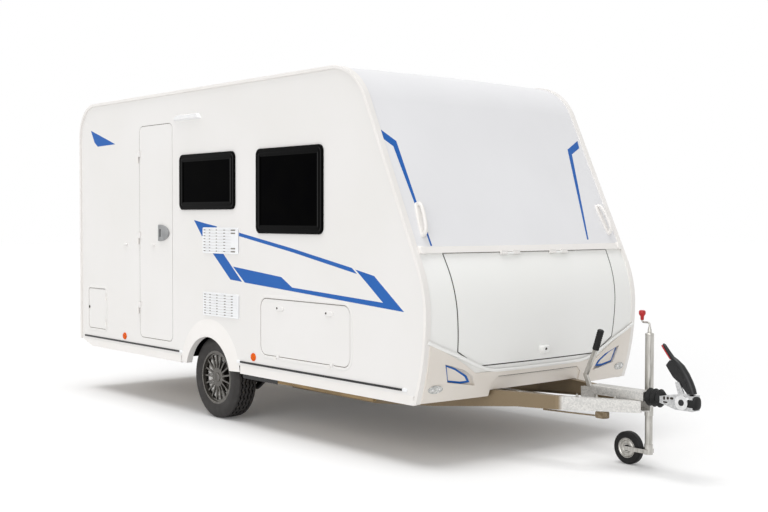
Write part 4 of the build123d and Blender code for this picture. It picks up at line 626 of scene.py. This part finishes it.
# Raised frames round the locker and the service hatch, and rubber in the gaps of all three doors, dark as painted
# shade in the gaps
openings = dict(
    locker=(-65, 977, 567, 983, 70), hatch=(-2816, -2484, 564, 928, 25), door=(-1866, -1319, 552, 2333, 55),
    frame=((-22, 0), (-21, 2.6), (-17, 4), (-6, 4), (-2, 3), (-0.5, 0)),
    seal=((-0.2, -8), (-0.2, -2), (3.4, -2), (3.4, -8)),
)
for name in ("locker", "hatch"):
    raised = loopTrim(roundedLoop(*openings[name], 9), openings["frame"], onRight)
    makePiece(f"{name}_frame", *raised, "caravan", "side_skin")
seals = [loopTrim(roundedLoop(*openings[name], 9), openings["seal"], onRight) for name in ("locker", "hatch", "door")]
# painted shade: dark seals fill the gaps where shade falls
makePiece("gap_seals_painted_shade", *joinBodies(*seals), "caravan", "black_rubber", doorSealAndGapShade, smooth=False)

# Oval locker latches, the hatch lock and the two door stays: half length, half height and how proud each stands
fittings = dict(
    latches=((178, 916), (749, 916)), latch=(46, 22, 9), bores=((152, 918), (723, 918)), bore=(9, 9, 11),
    hatchLock=((-2802, 754), 9, 13, 6), wallStay=((-2107, 1335), 34, 13, 16), doorStay=((-1632, 1339), 28, 11, 14),
)
latches = [buttonBody(place, *fittings["latch"], onRight, power=2.4, crown=0.55) for place in fittings["latches"]]
makePiece("locker_latches", *joinBodies(*latches), "side_locker_door", "side_skin")
bores = [buttonBody(place, *fittings["bore"], onRight) for place in fittings["bores"]]
makePiece("locker_lock_bores", *joinBodies(*bores), "side_locker_door", "black_plastic", darkBore)
makePiece("hatch_lock", *buttonBody(*fittings["hatchLock"], onRight), "service_hatch", "black_plastic", darkBore)
for name, key, body in (("wall_stay", "wallStay", "caravan"), ("door_stay", "doorStay", "entry_door")):
    stay = buttonBody(*fittings[key], onRight, power=3)
    makePiece(name, *stay, body, "side_skin")
print("side fittings made")

# Gas locker lock: a moulded cup, wide at its head, with a key bore
lock = dict(middle=(10, 692), halfWide=50, halfHigh=30, proud=32, foot=0.62, bore=((2, 696), 9, 9, 5), boreFace=30)


# The cup's width at a level: whole at its head, falling evenly to a part of that at its foot
def onLock(y, z, proud):
    middleY, middleZ = lock["middle"]
    narrow = 1 - (1 - lock["foot"]) * np.clip((middleZ + lock["halfHigh"] - z) / (2 * lock["halfHigh"]), 0, 1)
    return onFront(middleY + (y - middleY) * narrow, z, proud)


# The front skin, moved outwards by a distance
def onFrontFace(out):
    return lambda y, z, proud: onFront(y, z, out + proud)


cup = buttonBody(lock["middle"], lock["halfWide"], lock["halfHigh"], lock["proud"], onLock, power=3.2, crown=0.7)
makePiece("lid_lock", *cup, "gas_locker_lid", "front_skin", lidSkinPaintedLight)
bore = buttonBody(*lock["bore"], onFrontFace(lock["boreFace"]))
makePiece("lid_lock_bore", *bore, "gas_locker_lid", "black_plastic", darkBore)


# Seal round the lid, dark as painted shade in its gap: top, knee and corner of one side, and how each steps in for one
# millimetre of gap
lid = dict(
    points=((-810, 1340), (-766, 726), (-587, 620)), steps=((1, 0), (1, 0.5), (0.5, 1)), gaps=(-2.5, 5), thick=0.6,
)


# Outline of the lid: its points plus the gap times their steps, then the same points mirrored
def lidLine(gap):
    half = np.array(lid["points"]) + gap * np.array(lid["steps"])
    return np.concatenate([half, half[::-1] * (-1, 1)])


# painted shade: a dark strip in the gap round the lid
seal = filmBody(*[lidLine(gap) for gap in lid["gaps"]], onFront, thick=lid["thick"], along=24)
makePiece("lid_seal_painted_shade", *seal, "caravan", "black_rubber", sealAndGapShade, smooth=False)

# Fairing: a rounded bead along its crease, a slit over the recess as a dark strip of painted shade, and blue-rimmed
# panels in the pockets
fairing = dict(
    face=12, floor=-14, rimThick=12, panelThick=11.2, slit=((-392, 541), (392, 541)), slitHalf=1.5, slitThick=12.5,
    crease=((1015, 802), (909, 757), (759, 700), (595, 628), (500, 594), (420, 582), (300, 580)),
    rim=((853, 650), (768, 622), (661, 566), (625, 520), (703, 516), (818, 538)),
    panel=((838, 636), (766, 610), (677, 560), (653, 532), (707, 531), (810, 547)),
    bead=((-11, -2), (-9, 2), (-3, 5), (3, 5), (9, 2), (11, -2)),
)
half = np.array(fairing["crease"], float)
crease = densely(np.concatenate([half, half[::-1] * (-1, 1)]), 22)
bead = [(step, fairing["face"] + proud) for step, proud in fairing["bead"]]
# painted light: the bead takes the lightened gel coat of the lid, a lighter band along the crease
makePiece("fairing_bead", *runTrim(crease, bead, onFront), "caravan", "front_skin", lidSkinPaintedLight)
slit = densely(fairing["slit"], 30)
slitHalf = (0, fairing["slitHalf"])
slit = filmBody(slit + slitHalf, slit - slitHalf, onFront, thick=fairing["slitThick"], along=1)
# painted shade: a dark strip where the slit falls in shade
makePiece("fairing_slit_painted_shade", *slit, "caravan", "black_rubber", sealAndGapShade, smooth=False)
rims, panels = [], []
for hand in (-1, 1):
    rim = np.array(fairing["rim"] + fairing["rim"][:1], float) * (hand, 1)
    panel = np.array(fairing["panel"] + fairing["panel"][:1], float) * (hand, 1)
    middle = np.repeat(panel[:-1].mean(0)[None], len(panel), 0)
    rims.append(filmBody(rim, panel, onFrontFace(fairing["floor"]), thick=fairing["rimThick"]))
    panels.append(filmBody(panel, middle, onFrontFace(fairing["floor"]), thick=fairing["panelThick"]))
makePiece("pocket_rims", *joinBodies(*rims), "caravan", "front_skin", blueFilm, smooth=False)
makePiece("pocket_panels", *joinBodies(*panels), "caravan", "front_skin", fairingSkinAndReflection, smooth=False)

# Front lamps: two round glass bowls in each oval, each with a bright pupil
lamps = dict(places=((-939, 497), (-885, 497), (885, 497), (939, 497)), bowl=(21, 21, 4), pupil=(7, 7, 6), base=18)
onLamp = onFrontFace(lamps["base"])
bowls = [buttonBody(place, *lamps["bowl"], onLamp, crown=0.5) for place in lamps["places"]]
pupils = [buttonBody(place, *lamps["pupil"], onLamp, crown=0.5) for place in lamps["places"]]
makePiece("lamp_bowls", *joinBodies(*bowls), "caravan", "clear_lamp")
makePiece("lamp_pupils", *joinBodies(*pupils), "caravan", "clear_lamp", brightSteel)

# Ends of the hinge rail: rounded caps on the crowned front
railEnd = dict(places=((-972, 1366), (972, 1366)), size=(22, 25, 24))
railEnds = [buttonBody(place, *railEnd["size"], onFront, power=3.4, crown=0.8) for place in railEnd["places"]]
makePiece("rail_ends", *joinBodies(*railEnds), "caravan", "trim")

# Grab handles: an oval plate with a loop that stands off it, leaning in towards its head
grab = dict(
    y=905, z=1553, half=111, lean=16, wide=23, thick=11, grip=12.5,
    route=((-97, 0), (-95, 30), (-59, 46), (0, 49), (59, 46), (95, 30), (97, 0)),
)
loops = []
for hand in (-1, 1):
    rise, proud = np.array(grab["route"]).T
    across = hand * (grab["y"] - grab["lean"] * rise / grab["half"])
    away = proud[:, None] * np.array([rakeCos, 0, rakeSin])
    route = bend(onFront(across, grab["z"] + rise, 0) + away, 9)

    def onPlate(y, z, proud):
        return onFront(y - hand * grab["lean"] * (z - grab["z"]) / grab["half"], z, proud)

    middle = (hand * grab["y"], grab["z"])
    plate = buttonBody(middle, grab["wide"], grab["half"], grab["thick"], onPlate, power=3, crown=0.8)
    loops += [rodBody(route, grab["grip"], 14), plate]
grabLoops = makePiece("grab_loops", *joinBodies(*loops), "caravan", "trim")
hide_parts("grab_handles")
print("front fittings made")

# Vents: dark mouths and lines of shade along the louvres, both painted shade, a small mesh in the upper one, and a
# raised edge
vents = dict(
    upper=(-847, -346, 1290, 1489), lower=(-842, -342, 806, 988), rows=8, rib=14, face=7,
    columns=dict(upper=(22, 100, 198, 304), lower=(22, 100, 198, 304, 402)),
    mouth=(10, 3.2, 7.5), mesh=(428, (32, 5.5, 7.5)), line=(14, 404, 1.1), lineThick=7.25, lineDrop=4,
    corner=14, edge=((0, -2), (0, 1), (2, 2.4), (6, 2.4), (9, 0), (9, -2)),
)
for name in ("upper", "lower"):
    low, high, base, peak = vents[name]
    pitch = (peak - base - vents["rib"]) / vents["rows"]
    levels = (base + peak) / 2 + (np.arange(vents["rows"]) - (vents["rows"] - 1) / 2) * pitch
    marks = [
        buttonBody((low + along, level), *vents["mouth"], onRight, power=5, crown=0.96)
        for along in vents["columns"][name]
        for level in levels
    ]
    if name == "upper":
        along, mesh = vents["mesh"]
        marks += [
            buttonBody((low + along, level), *mesh, onRight, power=5, crown=0.97)
            for level in levels[[0, 1, -2, -1]]
        ]
    # painted shade: dark marks where the louvres' gaps fall in shade
    makePiece(f"{name}_vent_mouths", *joinBodies(*marks), "caravan", "black_plastic", mouthShade)
    start, end, thin = vents["line"]
    runs = [
        filmBody(*[[(low + along, level + side) for along in (start, end)] for side in (thin, -thin)],
                 onRight, thick=vents["lineThick"], along=1)
        for level in levels - vents["lineDrop"]
    ]
    # painted shade: a pale grey line below each louvre
    makePiece(f"{name}_vent_lines", *joinBodies(*runs), "caravan", "vent", lineShade, smooth=False)
    edge = roundedLoop(low, high, base, peak, vents["corner"])
    rows = [(step, vents["face"] + proud) for step, proud in vents["edge"]]
    makePiece(f"{name}_vent_edge", *loopTrim(edge, rows, onRight), "caravan", "vent")
print("vents made")

# Wheel centres: a dished cap inside the hub, and the turned lip and barrel
hub = dict(
    centre=(-763, 0, 318), capFace=956, cap=((0, 0), (22, 0), (27, 2), (33, 2), (36, -1), (36, -9), (0, -9)),
    lip=((193, 950), (195, 954), (198, 955.5), (202, 955), (204, 951), (204, 948), (193, 948)),
    barrel=((120, 898), (150, 906), (176, 922), (181, 924), (181, 918), (152, 898), (120, 890)),
)
for side, hand in (("right", -1), ("left", 1)):
    cap = [(radius, hand * (hub["capFace"] + reach)) for radius, reach in hub["cap"]]
    cap = turnBody(cap, hub["centre"], 40, closed=False)
    makePiece(f"wheel_cap_{side}", *cap, f"wheel_{side}", "alloy")
    rings = [[(radius, hand * reach) for radius, reach in hub[ring]] for ring in ("lip", "barrel")]
    bright = [turnBody(ring, hub["centre"], 72) for ring in rings]
    makePiece(f"wheel_lip_{side}", *joinBodies(*bright), f"wheel_{side}", "alloy", barrelAlloy)

# Jockey wheel: a stepped zinc dish in each face of the tyre, turned about its own pin
jockey = dict(
    centre=(2356, 146, 105), base=18, depth=0.8,
    dish=(
        (20, 2), (27, 2), (31, 6), (44, 7), (49, 3), (53, 3),
        (57, 8), (62, 9.4), (64, 8.6), (57, 2), (57, -8), (20, -8),
    ),
)
dishes = []
for hand in (-1, 1):
    profile = [(radius, hand * (jockey["base"] + reach * jockey["depth"])) for radius, reach in jockey["dish"]]
    dishes.append(turnBody(profile, jockey["centre"], 48))
makePiece("jockey_rims", *joinBodies(*dishes), "jockey_wheel", "zinc")

# Jockey mast head, cranked rod and its red grip
mast = dict(
    centre=(2508, 146, 0), gripCentre=(2450, 146, 0), rod=6,
    head=(
        (0, 831), (25, 831), (27.8, 834), (27.8, 843), (24, 848), (13, 851), (12, 872), (9, 877), (8, 888), (0, 888),
    ),
    crank=((2508, 146, 880), (2508, 146, 912), (2486, 146, 914), (2452, 146, 912), (2450, 146, 935)),
    grip=((0, 926), (9, 926), (11, 930), (12, 950), (17, 957), (21, 963), (22, 974), (20, 984), (14, 988), (0, 988)),
)
mastHead = turnBody(mast["head"], mast["centre"], 32, axis="z", closed=False)
crank = rodBody(bend(mast["crank"]), mast["rod"])
crankPiece = makePiece("crank_rod", *joinBodies(mastHead, crank), "caravan", "zinc")
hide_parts("jockey_crank")
knob = turnBody(mast["grip"], mast["gripCentre"], 24, axis="z", closed=False)
knobPiece = makePiece("crank_grip", *knob, "caravan", "red_plastic")
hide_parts("jockey_knob")

# Handbrake grip: ribbed rubber over the head of the lever, narrower at its tip
brake = dict(foot=(2199, 0, 727), tip=(2242, 0, 857), radius=20.5, rib=1.6, ribs=9, narrow=5, narrowFrom=0.93)
foot, tip = np.array(brake["foot"], float), np.array(brake["tip"], float)
reach = np.linspace(0, 1, 49)
brakeY = np.mean([corner[1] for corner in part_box("handbrake_lever")]) / mm
gripLine = foot + reach[:, None] * (tip - foot) + (0, brakeY, 0)
narrow = np.clip((reach - brake["narrowFrom"]) / (1 - brake["narrowFrom"]), 0, 1) ** 2
swell = brake["radius"] + brake["rib"] * np.abs(np.sin(reach * pi * brake["ribs"])) - brake["narrow"] * narrow
makePiece("brake_grip", *rodBody(gripLine, swell, 20), "caravan", "black_rubber")

# Coupling: a rounded handle with a red edge, a release lever, a black nose and dark caps on the friction pads
coupling = dict(
    spine=(
        (2716, 808), (2724, 799), (2752, 764), (2782, 729), (2812, 706),
        (2846, 676), (2878, 634), (2904, 590), (2922, 550), (2931, 524),
    ),
    swell=(6, 11, 12.5, 14, 19, 23, 24, 24, 24, 22),
    palm=(
        ((2774, 716), (2812, 716), (2850, 672), (2880, 620), (2906, 570), (2926, 526)),
        ((2748, 684), (2768, 656), (2800, 616), (2838, 590), (2868, 560), (2902, 524)),
    ),
    palmThick=19, redLine=((2711, 800), (2719, 788), (2747, 753), (2774, 721)), redY=-7, redRadius=5.5,
    release=(((2823, 591), (2845, 522)), ((2851, 594), (2887, 530))), releaseFace=24, releaseThick=8,
    nose=((2914, 41, 42), (2948, 41, 42), (2959, 37, 39), (2966, 29, 33), (2970, 18, 22), (2971, 6, 9)),
    noseZ=474, noseBow=0.7, cap=((2880, 476), 19, 19, 4), capFace=50,
    bores=((2752, 488, 7, 11, 2.4), (2778, 490, 9, 9, 2), (2806, 492, 12, 7, 3), (2760, 464, 16, 5, 3)),
    boreFace=38, boreProud=1.5,
)
redRod = rodBody([(x, coupling["redY"], z) for x, z in coupling["redLine"]], coupling["redRadius"], 14)
makePiece("handle_edges", *redRod, "caravan", "red_plastic")
spine = rodBody([(x, 0, z) for x, z in coupling["spine"]], np.array(coupling["swell"], float), 24)
palms = [filmBody(*coupling["palm"], onPlane(0, hand), thick=coupling["palmThick"]) for hand in (-1, 1)]
handle = makePiece("handle_grip", *joinBodies(spine, *palms), "caravan", "black_plastic")
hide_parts("coupling_handle")
release = filmBody(*coupling["release"], onPlane(coupling["releaseFace"]), thick=coupling["releaseThick"])
makePiece("release_lever", *release, "caravan", "silver", smooth=False)
noseRings = []
for x, wide, high in coupling["nose"]:
    across, upward = superellipse(wide, high, coupling["noseBow"])
    noseRings.append(np.stack([np.full(across.shape, x), across, upward + coupling["noseZ"]], -1))
nose = makePiece("coupling_nose", *ringBody(noseRings), "caravan", "black_rubber")
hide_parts("coupling_bumper")
caps = [buttonBody(*coupling["cap"], onPlane(coupling["capFace"], hand)) for hand in (-1, 1)]
makePiece("pad_caps", *joinBodies(*caps), "caravan", "black_plastic")
bores = [
    buttonBody((x, z), long, high, coupling["boreProud"], onPlane(coupling["boreFace"], hand), power=power)
    for hand in (-1, 1)
    for x, z, long, high, power in coupling["bores"]
]
makePiece("head_bores", *joinBodies(*bores), "caravan", "black_plastic", darkBore)

# Axle ends: a black arm, a stub and a strut beside each wheel, as along, across on one side, and up
axleEnd = dict(
    arm=((-470, 296), 104, 24, 20), armFace=728, lean=0.62,
    stub=((-560, 715, 322), (-560, 760, 322)), stubRadius=44,
    strut=((-405, 738, 342), (-385, 738, 400), (-380, 738, 452)), strutRadius=15,
)
arms, stubs, struts = [], [], []
for hand in (-1, 1):
    mirror = (1, hand, 1)
    face = onPlane(axleEnd["armFace"], hand)
    arms.append(buttonBody(*axleEnd["arm"], face, power=3, tilt=axleEnd["lean"], crown=0.8))
    stubs.append(rodBody(np.array(axleEnd["stub"]) * mirror, axleEnd["stubRadius"], 24))
    struts.append(rodBody(np.array(axleEnd["strut"]) * mirror, axleEnd["strutRadius"], 14))
axleEnds = joinBodies(*arms, *stubs, *struts)
makePiece("axle_arms", *axleEnds, "caravan", "galvanised", finishes["black_steel"])

# Black guard plates under the sills, just ahead of the wheels
guard = dict(ends=(-336, 108), low=362, high=396, face=994.5, thick=2)
edges = [[(x, z) for x in guard["ends"]] for z in (guard["high"], guard["low"])]
plates = [filmBody(*edges, onPlane(guard["face"], hand), thick=guard["thick"]) for hand in (-1, 1)]
makePiece("guard_plates", *joinBodies(*plates), "caravan", "black_plastic", finishes["black_steel"], smooth=False)

# Drawbar: nuts on the beams, and a clamp below with the rod that runs back from it
drawbar = dict(
    nuts=((2440, 107), (2340, 159), (2230, 216)), nut=((0, -1), (10, -1), (10, 9), (5, 9), (5, 19), (0, 19)),
    clamp=((2368, 348), 40, 24, 44), clampFace=120,
    rod=((2340, -145, 338), (2200, -225, 347), (2030, -305, 356)), rodRadius=5,
)
beamTop = max(corner[2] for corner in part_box("chassis_beams")) / mm
nuts = [
    turnBody(drawbar["nut"], (x, hand * y, beamTop), 6, axis="z", closed=False)
    for x, y in drawbar["nuts"]
    for hand in (-1, 1)
]
makePiece("beam_nuts", *joinBodies(*nuts), "caravan", "zinc", smooth=False)
clamp = buttonBody(*drawbar["clamp"], onPlane(drawbar["clampFace"]), power=5, crown=0.9)
rod = rodBody(drawbar["rod"], drawbar["rodRadius"], 10)
makePiece("beam_clamp", *joinBodies(clamp, rod), "caravan", "galvanised", clampSteel)


# Arc of a circle seen from the side: its middle plus the radius times cosine along and sine up
def arcLine(x, z, radius, first, last):
    turn = np.linspace(first, last, 24)
    return np.stack([x + radius * np.cos(turn), z + radius * np.sin(turn)], -1)


# Edge mouldings: two fine beads that follow the outline of the side from its nose to the foot of the rear
edging = dict(
    inset=11, noseFoot=414, rearFoot=459, step=30,
    beads=((-9, 11), (-8.5, 13), (-6, 14), (-3, 13), (0, 12.4), (3, 13), (6, 14), (8.5, 13), (9, 11)),
)
climb = np.linspace(edging["noseFoot"], browZ + shell["browR"] * rakeSin, 70)
tailX, tailZ = shell["rearX"] + shell["tailR"], shell["roofZ"] - shell["tailR"]
outline = densely(np.concatenate([
    np.stack([frontEdge(climb, edging["inset"]), climb], -1),
    arcLine(browX, browZ, shell["browR"] - edging["inset"], radians(shell["rake"]), pi / 2)[1:],
    arcLine(tailX, tailZ, shell["tailR"] - edging["inset"], pi / 2, pi),
    [(shell["rearX"] + edging["inset"], edging["rearFoot"])],
]), edging["step"])
edgeBeads = [runTrim(outline, edging["beads"], lift) for lift in (onRight, onLeft)]
makePiece("edge_beads", *joinBodies(*edgeBeads), "caravan", "trim")

# Rear lamps: round amber and white lenses set in the red ones
rearLamp = dict(z=527, lens=(29, 29, 3), places=dict(amber=840, clear_lamp=765))
lampFace = min(corner[0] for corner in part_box("rear_lamps")) / mm


# Rear wall, moved outwards to the face of the red lamps
def onRearLamp(y, z, proud):
    return onRear(y, z, shell["rearX"] + shell["skinInset"] - lampFace + proud)


for slot, across in rearLamp["places"].items():
    places = [(hand * across, rearLamp["z"]) for hand in (-1, 1)]
    lenses = [buttonBody(place, *rearLamp["lens"], onRearLamp, crown=0.7) for place in places]
    makePiece(f"rear_{slot}_lenses", *joinBodies(*lenses), "caravan", slot)
print("rear and drawbar fittings made")
